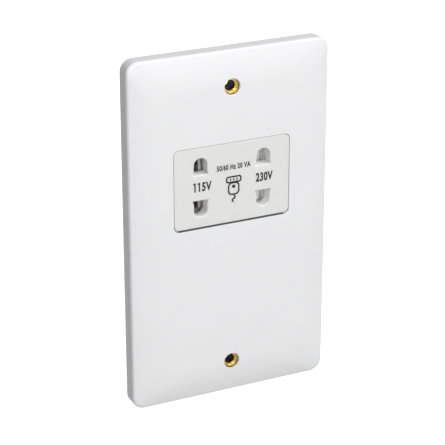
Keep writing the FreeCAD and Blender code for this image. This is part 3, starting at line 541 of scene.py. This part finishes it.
def striped(name, colours, direction, pitch, depth, roughness, metallic):
    """Stacked sheets or wound wire: even lines in two tones."""
    look, tree, shader = shader_of(name)
    place = object_place(tree)
    lines = bands(tree, place, pitch, direction)
    tones(tree, lines, colours, shader.inputs["Base Color"])
    relief(tree, shader, lines, STRIPE_STRENGTH, depth)
    uneven_gloss(tree, shader, place, roughness, STRIPE_GLOSS)
    shader.inputs["Metallic"].default_value = metallic
    return look


LOOKS = {
    "white_plate": moulded("plate_white", (0.80, 0.80, 0.81), 0.42),
    "insert": moulded("insert_white", (0.755, 0.755, 0.745), 0.42, milky=0.3),
    # The shutter's own white, set lighter than the insert's as painted light deep in the plug openings
    "shutter": moulded("shutter_white_painted_light", (0.92, 0.92, 0.90), 0.45, milky=0.3),
    "carrier": moulded("carrier_grey", (0.09, 0.09, 0.092), 0.5, mottle=0.8),
    "brass": drawn_metal("turned_brass", (0.74, 0.56, 0.22), 0.3),
    "steel": drawn_metal("zinc_plate", (0.62, 0.63, 0.64), 0.34, "X"),
    "strap": drawn_metal("tinned_strip", (0.72, 0.70, 0.62), 0.36, "Z"),
    "iron": striped("core_sheets", IRON_TONES, "Y", 320.0, 0.05 * MM, 0.5, 0.8),
    "former": moulded("former_nylon", (0.62, 0.60, 0.55), 0.5),
    "winding": striped("enamel_wire", WIRE_TONES, "Z", 420.0, 0.08 * MM, 0.3, 0.9),
    "cutout": moulded("cutout_black", (0.06, 0.06, 0.06), 0.4, mottle=0.8),
    "housing": moulded("housing_grey", (0.60, 0.60, 0.59), 0.5, mottle=0.95, grain=0.05 * MM),
    "block": moulded("block_cream", (0.72, 0.70, 0.64), 0.45, mottle=0.95, grain=0.04 * MM),
    "lead_brown": moulded("lead_brown", (0.19, 0.08, 0.03), 0.45, mottle=0.85),
    "lead_blue": moulded("lead_blue", (0.03, 0.10, 0.35), 0.45, mottle=0.85),
    "lead_white": moulded("lead_white", (0.65, 0.65, 0.62), 0.45, mottle=0.95),
}
# Whiter copy of the insert's plastic for the walls of the plug openings: painted light, so the openings
# read pale
THROAT_LIGHT_PAINT = moulded("throat_painted_light", (0.94, 0.94, 0.93), 0.5, milky=0.5)
INK = moulded("print_ink", (0.018, 0.018, 0.02), 0.5, mottle=0.8)
# Near-black brass for the bores: painted shade where the deep holes fall dark
BORE_SHADE_PAINT = drawn_metal("bore_painted_shade", (0.02, 0.015, 0.006), 0.5)
# Dark brown brass for the mouth's grooves: painted shade in the grooves
GROOVE_SHADE_PAINT = drawn_metal("groove_painted_shade", (0.24, 0.15, 0.045), 0.45)


def dress_solids():
    """Gives each solid the finish of its slot."""
    for row in frame["record"]["subparts"]:
        solid = frame["nodes"][row["node"]]
        solid.data.materials.clear()
        solid.data.materials.append(LOOKS[row["material_slot"]])


# Front plate
def outline_ring(y, half, radius):
    """Bare rounded outline round the middle of the plate."""
    ring = rounded_face(y, (0, 0), half, radius)
    edit(ring)
    bpy.ops.mesh.delete(type="ONLY_FACE")
    done()
    return ring


def crown_section():
    """Points from the side wall in to the flat face, as distance in and height above the wall."""
    points = []
    for step in range(EDGE_STEPS):
        angle = (math.pi / 2 - CROWN_SLOPE) * step / EDGE_STEPS
        points.append((EDGE_ROUND * (1 - math.cos(angle)), EDGE_ROUND * math.sin(angle)))
    turn_in = EDGE_ROUND * (1 - math.sin(CROWN_SLOPE))
    turn_up = EDGE_ROUND * math.cos(CROWN_SLOPE)
    crown_radius = (-FRONT - PLATE_EDGE - turn_up) / (1 - math.cos(CROWN_SLOPE))
    for step in range(CROWN_STEPS + 1):
        angle = CROWN_SLOPE * (1 - step / CROWN_STEPS)
        inward = crown_radius * (math.sin(CROWN_SLOPE) - math.sin(angle))
        upward = crown_radius * (math.cos(angle) - math.cos(CROWN_SLOPE))
        points.append((turn_in + inward, turn_up + upward))
    return points


def plate_rings():
    """Outlines from the roof of the hollow, round the rim, over the edge and up the crown."""
    half = (PLATE_HIGH.x, PLATE_HIGH.z)
    hollow = [size - RIM_WALL + SINK for size in half]
    hollow_corner = CORNER_RADIUS - RIM_WALL + SINK
    rings = [outline_ring(SKIN_BACK - SINK, hollow, hollow_corner)]
    rings.append(outline_ring(0, hollow, hollow_corner))
    rings.append(outline_ring(0, half, CORNER_RADIUS))
    section = crown_section()
    width = section[-1][0]
    for inward, height in section:
        radius = CORNER_RADIUS + (CROWN_CORNER - CORNER_RADIUS) * inward / width
        rings.append(outline_ring(-PLATE_EDGE - height, [size - inward for size in half], radius))
    return rings


def bridged(rings):
    """Closed skin over a row of outlines, which stand apart while they are joined so as to pair up."""
    count = len(rings[0].data.vertices)
    for index, ring in enumerate(rings):
        edit(ring)
        bpy.ops.transform.translate(value=(0, -index * RING_SPREAD, 0))
        done()
    skin = rings[0]
    for index, ring in enumerate(rings[1:], 1):
        take(skin, ring)
        bpy.ops.object.join()
        first = (index - 1) * count
        pick(skin, lambda number, place: first <= number < first + 2 * count)
        bpy.ops.mesh.bridge_edge_loops()
        done()
    for index in range(len(rings)):
        pick(skin, lambda number, place: number // count == index)
        bpy.ops.transform.translate(value=(0, index * RING_SPREAD, 0))
        if index in (0, len(rings) - 1):
            bpy.ops.mesh.edge_face_add()
        done()
    face_out(skin)
    return skin


def window_cutter():
    """Opening for the insert, with a soft mouth and more room at its foot."""
    half = (INSERT_HALF[0] + WINDOW_GAP, INSERT_HALF[1] + (WINDOW_GAP + WINDOW_FOOT_GAP) / 2)
    centre = (0, SOCKET_Z - (WINDOW_FOOT_GAP - WINDOW_GAP) / 2)
    face = rounded_face(SKIN_BACK + SPARE, centre, half, INSERT_CORNER + WINDOW_GAP)
    return drawn_out(face, centre, half, flared(WINDOW_LIP))


def fixing_cutter(side):
    """Pocket for a bush behind a narrower hole with a soft mouth."""
    centre = (0, side * FIXING_Z)
    pocket = BUSH_RADIUS + BUSH_GAP + SINK
    narrowing = HOLE_RADIUS - pocket
    ledge = BUSH_LOW.y + BUSH_SETBACK - SINK
    face = round_face(SKIN_BACK + SPARE, centre, pocket)
    stations = [(ledge, 0), (ledge, narrowing)]
    stations += [(y, narrowing + growth) for y, growth in flared(HOLE_LIP)]
    return drawn_out(face, centre, (pocket, pocket), stations)


def front_plate():
    """Pillow-edged plate, with the ribs, seat and bosses of its back."""
    plate = bridged(plate_rings())
    carve(plate, window_cutter())
    for side in (-1, 1):
        carve(plate, fixing_cutter(side))
    inside = solid_copy("front_plate")
    half = (PLATE_HIGH.x - RIM_WALL / 2, PLATE_HIGH.z - RIM_WALL / 2)
    reach = rounded_face(PLATE_HIGH.y + SPARE, (0, 0), half, CORNER_RADIUS - RIM_WALL / 2)
    carve(inside, drawn_out(reach, (0, 0), half, [(BACK_JOIN, 0)]), "INTERSECT")
    carve(plate, inside, "UNION")
    smooth(plate)
    finished(plate, "plate_moulding", LOOKS["white_plate"], stands_for=["front_plate"])


# Socket insert
def aperture_cutter(side_x, side_z):
    """Bell-shaped plug opening with a soft mouth."""
    x = side_x * PAIR_X
    waist = SOCKET_Z + side_z * (APERTURE_BASE + APERTURE_FOOT)
    tip = SOCKET_Z + side_z * APERTURE_TIP
    base = SOCKET_Z + side_z * APERTURE_BASE
    depth = FRONT + POCKET_DEPTH + SPARE
    fresh()
    place = (x, depth, (waist + tip) / 2)
    bpy.ops.mesh.primitive_plane_add(size=2, location=place, rotation=(math.pi / 2, 0, 0))
    bell = bpy.context.object
    bell.scale = (APERTURE_RADIUS, abs(tip - waist) / 2, 1)
    settle()
    pick(bell, lambda number, place: abs(place.z - tip) < WELD)
    bpy.ops.mesh.bevel(offset=APERTURE_ROUND, offset_type="OFFSET", segments=CORNER_STEPS,
                       affect="VERTICES")
    done()
    pick(bell, lambda number, place: abs(place.z - waist) < WELD)
    bpy.ops.mesh.extrude_edges_move(TRANSFORM_OT_translate={"value": (0, 0, base - waist)})
    spread = APERTURE_FOOT_HALF / APERTURE_RADIUS
    bpy.ops.transform.resize(value=(spread, 1, 1), center_override=(x, depth, base))
    done()
    pick(bell, lambda number, place: abs(place.z - waist) < WELD)
    bpy.ops.mesh.dissolve_edges(use_verts=False)
    done()
    centre = (x, (tip + base) / 2)
    half = (APERTURE_FOOT_HALF, abs(tip - base) / 2)
    wider = [1 + SINK / size for size in half]
    edit(bell)
    bpy.ops.transform.resize(value=(wider[0], 1, wider[1]), center_override=(x, depth, centre[1]))
    done()
    return drawn_out(bell, centre, half, flared(MOUTH_LIP))


def in_aperture(place):
    """True for places on the walls of a plug opening."""
    across = abs(abs(place.x) - PAIR_X) < APERTURE_FOOT_HALF + 2 * SINK
    upright = APERTURE_BASE - 2 * SINK < abs(place.z - SOCKET_Z) < APERTURE_TIP + 2 * SINK
    return across and upright and FRONT + MOUTH_LIP / 2 < place.y < FRONT + POCKET_DEPTH - SINK


def socket_insert():
    """Face of the socket, with the pocket and bosses behind it."""
    centre = (0, SOCKET_Z)
    face = rounded_face(SKIN_BACK + 4 * SINK, centre, INSERT_HALF, INSERT_CORNER)
    stations = [(FRONT + INSERT_LIP, 0)]
    for step in range(1, LIP_STEPS + 1):
        angle = math.pi / 2 * step / LIP_STEPS
        depth = FRONT + INSERT_LIP * (1 - math.sin(angle))
        stations.append((depth, INSERT_LIP * (math.cos(angle) - 1)))
    insert = drawn_out(face, centre, INSERT_HALF, stations)
    behind = solid_copy("socket_insert")
    low = (INSERT_LOW.x - SPARE, SKIN_BACK + SINK, INSERT_LOW.z - SPARE)
    high = (INSERT_HIGH.x + SPARE, INSERT_HIGH.y + SPARE, INSERT_HIGH.z + SPARE)
    carve(behind, box_between(low, high), "INTERSECT")
    carve(insert, behind, "UNION")
    coring = [size - SINK for size in CORING_HALF]
    low = (-coring[0], FRONT + FACE_WALL, SOCKET_Z - coring[1])
    carve(insert, box_between(low, (coring[0], SKIN_BACK + SPARE, SOCKET_Z + coring[1])))
    for side_x in (-1, 1):
        for side_z in (-1, 1):
            carve(insert, aperture_cutter(side_x, side_z))
    smooth(insert)
    finished(insert, "insert_moulding", LOOKS["insert"], stands_for=["socket_insert"])
    # The walls of the plug openings take the whiter copy: painted light
    insert.data.materials.append(THROAT_LIGHT_PAINT)
    for face in insert.data.polygons:
        face.material_index = int(in_aperture(face.center))


def gap_shadow_strip():
    """Dark strip put in the gap under the insert as a painted shadow line."""
    half = INSERT_HALF[0] - INSERT_CORNER
    sill = SOCKET_Z - INSERT_HALF[1] - WINDOW_FOOT_GAP
    low = (-half, FRONT + SHADOW_STRIP_SETBACK, sill)
    strip = box_between(low, (half, BACK_JOIN - SINK, sill + SHADOW_STRIP_HEIGHT))
    finished(strip, "insert_gap_shadow", LOOKS["carrier"])


# Fixing bushes
def turned(centre, stations):
    """Sleeve turned about an axis into the wall, from radii and depths that end where they began."""
    radius, y = stations[0]
    sleeve = round_face(y, centre, radius, fill="NOTHING")
    edit(sleeve)
    for next_radius, next_y in stations[1:]:
        bpy.ops.mesh.extrude_edges_move(TRANSFORM_OT_translate={"value": (0, next_y - y, 0)})
        growth = next_radius / radius
        middle = (centre[0], next_y, centre[1])
        bpy.ops.transform.resize(value=(growth, 1, growth), center_override=middle)
        radius, y = next_radius, next_y
    bpy.ops.mesh.select_all(action="SELECT")
    bpy.ops.mesh.remove_doubles(threshold=WELD)
    done()
    face_out(sleeve)
    return sleeve


def bush_stations():
    """Half section of a bush, from its back, round its mouth and down its bore."""
    mouth_y = BUSH_LOW.y + BUSH_SETBACK
    step_y = BUSH_LOW.y + BUSH_MOUTH_DEPTH
    seat_y = step_y + BUSH_SEAT_DEPTH
    stations = [(BUSH_RADIUS, BUSH_HIGH.y), (BUSH_RADIUS, mouth_y + BUSH_EDGE)]
    stations += [(BUSH_RADIUS - BUSH_EDGE, mouth_y)]
    stations += [(BUSH_MOUTH + BUSH_EDGE / 2, mouth_y), (BUSH_MOUTH, mouth_y + BUSH_EDGE)]
    pitch = (step_y - mouth_y - 2 * BUSH_EDGE) / (BUSH_GROOVES + 0.5)
    for groove in range(BUSH_GROOVES):
        for share, depth in GROOVE:
            stations.append((BUSH_MOUTH + depth, mouth_y + BUSH_EDGE + pitch * (groove + share)))
    stations += [(BUSH_MOUTH, step_y), (BUSH_SEAT + BUSH_EDGE, step_y), (BUSH_SEAT, step_y + BUSH_EDGE)]
    stations += [(BUSH_SEAT, seat_y), (BUSH_BORE + BUSH_EDGE, seat_y), (BUSH_BORE, seat_y + BUSH_EDGE)]
    stations += [(BUSH_BORE, BUSH_HIGH.y - BUSH_EDGE), (BUSH_BORE + BUSH_EDGE, BUSH_HIGH.y)]
    return stations + stations[:1]


def finish_bush(bush, node, centre):
    """Brass, with its mouth's dull grooves darkened as painted shade and its bore darkened as painted
    shade.
    """
    smooth(bush)
    finished(bush, node + "_turning", LOOKS["brass"], stands_for=[node])
    bush.data.materials.append(BORE_SHADE_PAINT)
    bush.data.materials.append(GROOVE_SHADE_PAINT)
    for face in bush.data.polygons:
        reach = math.hypot(face.center.x - centre[0], face.center.z - centre[1])
        in_mouth = face.center.y > BUSH_LOW.y + BUSH_SETBACK + BUSH_EDGE
        # Faces down the bore take the near-black brass: painted shade
        if reach < BUSH_BORE + BUSH_EDGE / 2:
            face.material_index = 1
        # Faces in the mouth's grooves take the dark brown brass: painted shade
        elif in_mouth and BUSH_MOUTH + GROOVE_DEPTH / 4 < reach < BUSH_RADIUS - BUSH_EDGE:
            face.material_index = 2


def fixing_bushes():
    """Sleeve in the upper hole and its twin in the lower one."""
    upper = turned((0, FIXING_Z), bush_stations())
    lower = copied(upper, (0, 0, -2 * FIXING_Z))
    finish_bush(upper, "upper_fixing_bush", (0, FIXING_Z))
    finish_bush(lower, "lower_fixing_bush", (0, -FIXING_Z))


# Print
def lettering(words, cap, width, centre, y, thickness, turn=0.0):
    """Words as a thin mesh of a given height and width, with their back at depth y."""
    fresh()
    bpy.ops.object.text_add()
    text = bpy.context.object
    text.data.body = words
    text.data.offset = LETTER_WEIGHT
    text.data.space_character = LETTER_SPACING
    text.data.extrude = 0.5
    text.data.resolution_u = LETTER_STEPS
    bpy.ops.object.convert(target="MESH")
    bpy.ops.object.origin_set(type="ORIGIN_GEOMETRY", center="BOUNDS")
    print_mesh = bpy.context.object
    size = print_mesh.dimensions
    print_mesh.scale = (width / size.x, cap / size.y, thickness / size.z)
    print_mesh.rotation_euler = (math.pi / 2, 0, turn)
    print_mesh.location = (centre[0], y, centre[1])
    settle()
    edit(print_mesh)
    bpy.ops.mesh.remove_doubles(threshold=LETTER_WELD)
    done()
    face_out(print_mesh)
    return print_mesh


def printed(piece, name):
    """Finishes a piece of the print in ink."""
    take(piece)
    bpy.ops.object.shade_flat()
    finished(piece, name, INK)


def ink_middle():
    """Depth of the middle of the ink."""
    return FRONT - INK_PROUD + INK_DEPTH / 2


def flags(bars, top):
    """Slanted upstrokes for ones, which are plain bars in this type, with these left edges."""
    strokes = []
    for left in bars:
        low = (left - FLAG_REACH, FRONT - INK_PROUD, top - FLAG_STROKE)
        flag = box_between(low, (left + FLAG_STROKE / 2, FRONT - INK_PROUD + INK_DEPTH, top))
        edit(flag)
        bpy.ops.transform.rotate(value=FLAG_TURN, orient_axis="Y", center_override=(left, FRONT, top))
        done()
        strokes.append(flag)
    return strokes


def figures(name, row, cap, width):
    """A line of print at its place on the face, with upstrokes on the ones that it starts with."""
    words, (x, z) = row
    print_mesh = lettering(words, cap, width, (x, SOCKET_Z + z), ink_middle(), INK_DEPTH)
    ones = len(words) - len(words.lstrip("1"))
    edges = sorted({round(vertex.co.x, 6) for vertex in print_mesh.data.vertices})
    printed(joined([print_mesh] + flags(edges[:2 * ones:2], SOCKET_Z + z + cap / 2)), name)


def sign_place(x, z):
    """Place on the face from the middle of the sign."""
    return (SIGN_MIDDLE[0] + x, SOCKET_Z + SIGN_MIDDLE[1] + z)


def hollowed(face):
    """Leaves a line of the sign's width round the outline of a flat face."""
    edit(face)
    bpy.ops.mesh.select_mode(type="FACE")
    bpy.ops.mesh.inset(thickness=SIGN_STROKE)
    bpy.ops.mesh.delete(type="FACE")
    done()
    return face


def half_ring(centre, radius, side):
    """Half of a round line, on one side of its centre."""
    ring = hollowed(round_face(FRONT, centre, radius, sides=SCREW_SIDES))
    pick(ring, lambda number, place: (place.x - centre[0]) * side < -WELD)
    bpy.ops.mesh.delete(type="VERT")
    done()
    return ring


def shaver_sign():
    """Plain sign of an electric shaver: head with foil lines, body with a switch, and its lead."""
    head = sign_place(0, SIGN_HEAD_RISE)
    parts = [hollowed(rounded_face(FRONT, head, SIGN_HEAD_HALF, SIGN_HEAD_CORNER))]
    for step in (-1, 0, 1):
        foil = sign_place(step * SIGN_FOIL_PITCH, SIGN_HEAD_RISE)
        parts.append(rounded_face(FRONT, foil, SIGN_FOIL_HALF, SIGN_FOIL_CORNER))
    grip = sign_place(0, -SIGN_BODY_DROP)
    parts.append(hollowed(rounded_face(FRONT, grip, SIGN_BODY_HALF, SIGN_BODY_CORNER)))
    switch = sign_place(0, SIGN_SWITCH_RISE)
    parts.append(round_face(FRONT, switch, SIGN_SWITCH_RADIUS, sides=SCREW_SIDES))
    first_bend = sign_place(0, -SIGN_LEAD_DROP - SIGN_LEAD_SWING)
    second_bend = sign_place(0, -SIGN_LEAD_DROP - 3 * SIGN_LEAD_SWING + SIGN_STROKE)
    parts.append(half_ring(first_bend, SIGN_LEAD_SWING, 1))
    parts.append(half_ring(second_bend, SIGN_LEAD_SWING, -1))
    sign = joined(parts)
    edit(sign)
    bpy.ops.transform.translate(value=(0, INK_DEPTH - INK_PROUD, 0))
    bpy.ops.mesh.extrude_region_move(TRANSFORM_OT_translate={"value": (0, -INK_DEPTH, 0)})
    done()
    face_out(sign)
    printed(sign, "shaver_sign")


# Screws
def solids_of(node):
    """Lowest and highest corner of each solid in a node."""
    copy = solid_copy(node)
    edit(copy)
    bpy.ops.mesh.separate(type="LOOSE")
    done()
    parts = list(bpy.context.selected_objects)
    boxes = []
    for part in parts:
        corners = [vertex.co for vertex in part.data.vertices]
        low = Vector([min(corner[axis] for corner in corners) for axis in range(3)])
        high = Vector([max(corner[axis] for corner in corners) for axis in range(3)])
        boxes.append((low, high))
    for part in parts:
        bpy.data.objects.remove(part)
    return boxes


def screw_stations(tip, under_head, top, shank, head):
    """Depths and radii of a screw, from its tip to the crown of its head."""
    stations = []
    turns = int((under_head - tip) / THREAD_PITCH) - 1
    for turn in range(turns):
        y = tip + THREAD_PITCH * (turn + 0.5)
        stations += [(y, shank), (y + THREAD_PITCH / 2, shank - THREAD_DEPTH)]
    stations += [(under_head, shank - THREAD_DEPTH), (under_head, head)]
    side = under_head + HEAD_SIDE * (top - under_head)
    for step in range(LIP_STEPS + 1):
        angle = DOME_TURN * step / LIP_STEPS
        rise = math.sin(angle) / math.sin(DOME_TURN)
        reach = HEAD_CROWN + (1 - HEAD_CROWN) * math.cos(angle)
        stations.append((side + (top - side) * rise, head * reach))
    return stations


def screw(low, high, head_height, shank, crossed):
    """Domed screw driven from the back, with a straight or crossed slot."""
    centre = ((low.x + high.x) / 2, (low.z + high.z) / 2)
    head = (high.x - low.x) / 2
    tip_radius = SCREW_TIP * shank
    stations = screw_stations(low.y, high.y - head_height, high.y, shank, head)
    blank = round_face(low.y, centre, tip_radius, sides=SCREW_SIDES)
    growths = [(y, radius - tip_radius) for y, radius in stations]
    body = drawn_out(blank, centre, (tip_radius, tip_radius), growths)
    slot_floor = high.y - SLOT_DEPTH * head_height
    reach = head * (CROSS_REACH if crossed else SLOT_REACH)
    slots = [(reach, HEAD_SLOT / 2)]
    if crossed:
        slots.append((HEAD_SLOT / 2, reach))
    for half_x, half_z in slots:
        corner = (centre[0] - half_x, slot_floor, centre[1] - half_z)
        carve(body, box_between(corner, (centre[0] + half_x, high.y + SPARE, centre[1] + half_z)))
    return body


def screw_set(node, name, size, crossed):
    """The screws of a node, all alike, with threads and slots."""
    boxes = solids_of(node)
    first = screw(*boxes[0], *size, crossed)
    twins = [copied(first, low - boxes[0][0]) for low, _ in boxes[1:]]
    group = joined([first] + twins)
    smooth(group)
    finished(group, name, LOOKS[SLOT_OF[node]], stands_for=[node])


# Rear
def refined(node, name, ease, body):
    """A solid's own form with its edges eased."""
    copy = solid_copy(node)
    eased(copy, ease)
    smooth(copy)
    finished(copy, name, LOOKS[SLOT_OF[node]], body, [node])


def terminal_letters():
    """Raised letters on the housing above the terminals, read from the back."""
    z = (BLOCK_HIGH.z + HOUSING_HIGH.z - LUG_REACH) / 2
    letters = []
    wall = BLOCK_LOW.y
    for letter, node in TERMINAL_LETTERS:
        low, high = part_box(node)
        centre = ((low.x + high.x) / 2, z)
        size = (LETTER_CAP, LETTER_WIDTH)
        letters.append(lettering(letter, *size, centre, wall, 2 * LETTER_RISE, turn=math.pi))
    group = joined(letters)
    finished(group, "terminal_letters", LOOKS["housing"])


# Studio
def camera():
    """Camera at the viewing angle of the picture, aimed a little to one side of the plate."""
    level = math.cos(CAMERA_HEIGHT)
    sideways = math.sin(CAMERA_AZIMUTH) * level
    forward = math.cos(CAMERA_AZIMUTH) * level
    back = Vector((sideways, -forward, math.sin(CAMERA_HEIGHT)))
    right = Vector((0, 0, 1)).cross(back).normalized()
    up = back.cross(right)
    middle = Vector((0, FRONT / 2, 0))
    pixel = CAMERA_DISTANCE / FOCAL_PIXELS
    eye = bpy.data.cameras.new("eye")
    eye.sensor_width = SENSOR_WIDTH
    eye.lens = SENSOR_WIDTH * FOCAL_PIXELS / PICTURE_PIXELS
    stand = bpy.data.objects.new("eye", eye)
    bpy.context.scene.collection.objects.link(stand)
    stand.location = middle + back * CAMERA_DISTANCE
    aim = middle - right * (AIM_PIXELS[0] * pixel) + up * (AIM_PIXELS[1] * pixel) - stand.location
    stand.rotation_euler = aim.to_track_quat("-Z", "Y").to_euler()
    bpy.context.scene.camera = stand


def lamp(name, place, size, power):
    """Soft rectangular lamp that looks at the middle of the part."""
    light = bpy.data.lights.new(name, "AREA")
    light.shape = "RECTANGLE"
    light.size, light.size_y = size
    light.energy = power
    stand = bpy.data.objects.new(name, light)
    bpy.context.scene.collection.objects.link(stand)
    stand.location = place
    stand.rotation_euler = (-Vector(place)).to_track_quat("-Z", "Y").to_euler()


def seen_directly(tree):
    """1 for rays from the camera, from gloss or through glass."""
    path = tree.nodes.new("ShaderNodeLightPath")
    total = path.outputs["Is Camera Ray"]
    for name in ("Is Glossy Ray", "Is Transmission Ray"):
        either = tree.nodes.new("ShaderNodeMath")
        either.operation = "MAXIMUM"
        tree.links.new(total, either.inputs[0])
        tree.links.new(path.outputs[name], either.inputs[1])
        total = either.outputs["Value"]
    return total


def surroundings():
    """White to the eye, and a plain soft light on the object."""
    world = bpy.data.worlds.new("studio")
    bpy.context.scene.world = world
    world.use_nodes = True
    tree = world.node_tree
    soft = tree.nodes["Background"]
    soft.inputs["Color"].default_value = (1, 1, 1, 1)
    soft.inputs["Strength"].default_value = SOFT_LIGHT
    white = tree.nodes.new("ShaderNodeBackground")
    white.inputs["Color"].default_value = (1, 1, 1, 1)
    white.inputs["Strength"].default_value = 1.0
    mix = tree.nodes.new("ShaderNodeMixShader")
    tree.links.new(seen_directly(tree), mix.inputs["Fac"])
    tree.links.new(soft.outputs["Background"], mix.inputs[1])
    tree.links.new(white.outputs["Background"], mix.inputs[2])
    tree.links.new(mix.outputs["Shader"], tree.nodes["World Output"].inputs["Surface"])


def floor():
    """Plain pale floor well below the plate."""
    fresh()
    bpy.ops.mesh.primitive_plane_add(size=FLOOR_SIZE, location=(0, 0, PLATE_LOW.z - FLOOR_DROP))
    ground = bpy.context.object
    ground.name = "floor"
    settle()
    look, tree, shader = shader_of("floor_white")
    shader.inputs["Base Color"].default_value = (FLOOR_TONE, FLOOR_TONE, FLOOR_TONE, 1)
    shader.inputs["Roughness"].default_value = FLOOR_ROUGHNESS
    shader.inputs["Specular IOR Level"].default_value = 0.0
    shader.inputs["Emission Color"].default_value = (1, 1, 1, 1)
    lift = tree.nodes.new("ShaderNodeMath")
    lift.operation = "MULTIPLY"
    lift.inputs[1].default_value = FLOOR_LIFT
    tree.links.new(seen_directly(tree), lift.inputs[0])
    tree.links.new(lift.outputs["Value"], shader.inputs["Emission Strength"])
    ground.data.materials.append(look)


dress_solids()
front_plate()
socket_insert()
gap_shadow_strip()
fixing_bushes()
figures("voltage_left", VOLTS_LEFT, VOLTS_CAP, VOLTS_WIDTH)
figures("voltage_right", VOLTS_RIGHT, VOLTS_CAP, VOLTS_WIDTH)
figures("rating_line", RATING, RATING_CAP, RATING_WIDTH)
shaver_sign()
screw_set("housing_screws", "housing_screw_pair", SMALL_SCREW, crossed=True)
screw_set("terminal_block_screws", "block_screw_pair", SMALL_SCREW, crossed=True)
screw_set("terminal_screws", "clamp_screw_set", CLAMP_SCREW, crossed=False)
for eased_solid in EASED_SOLIDS:
    refined(*eased_solid)
terminal_letters()

camera()
surroundings()
floor()
for lamp_name, lamp_row in LAMPS.items():
    lamp(lamp_name, *lamp_row)
bpy.context.scene.view_settings.view_transform = "Standard"
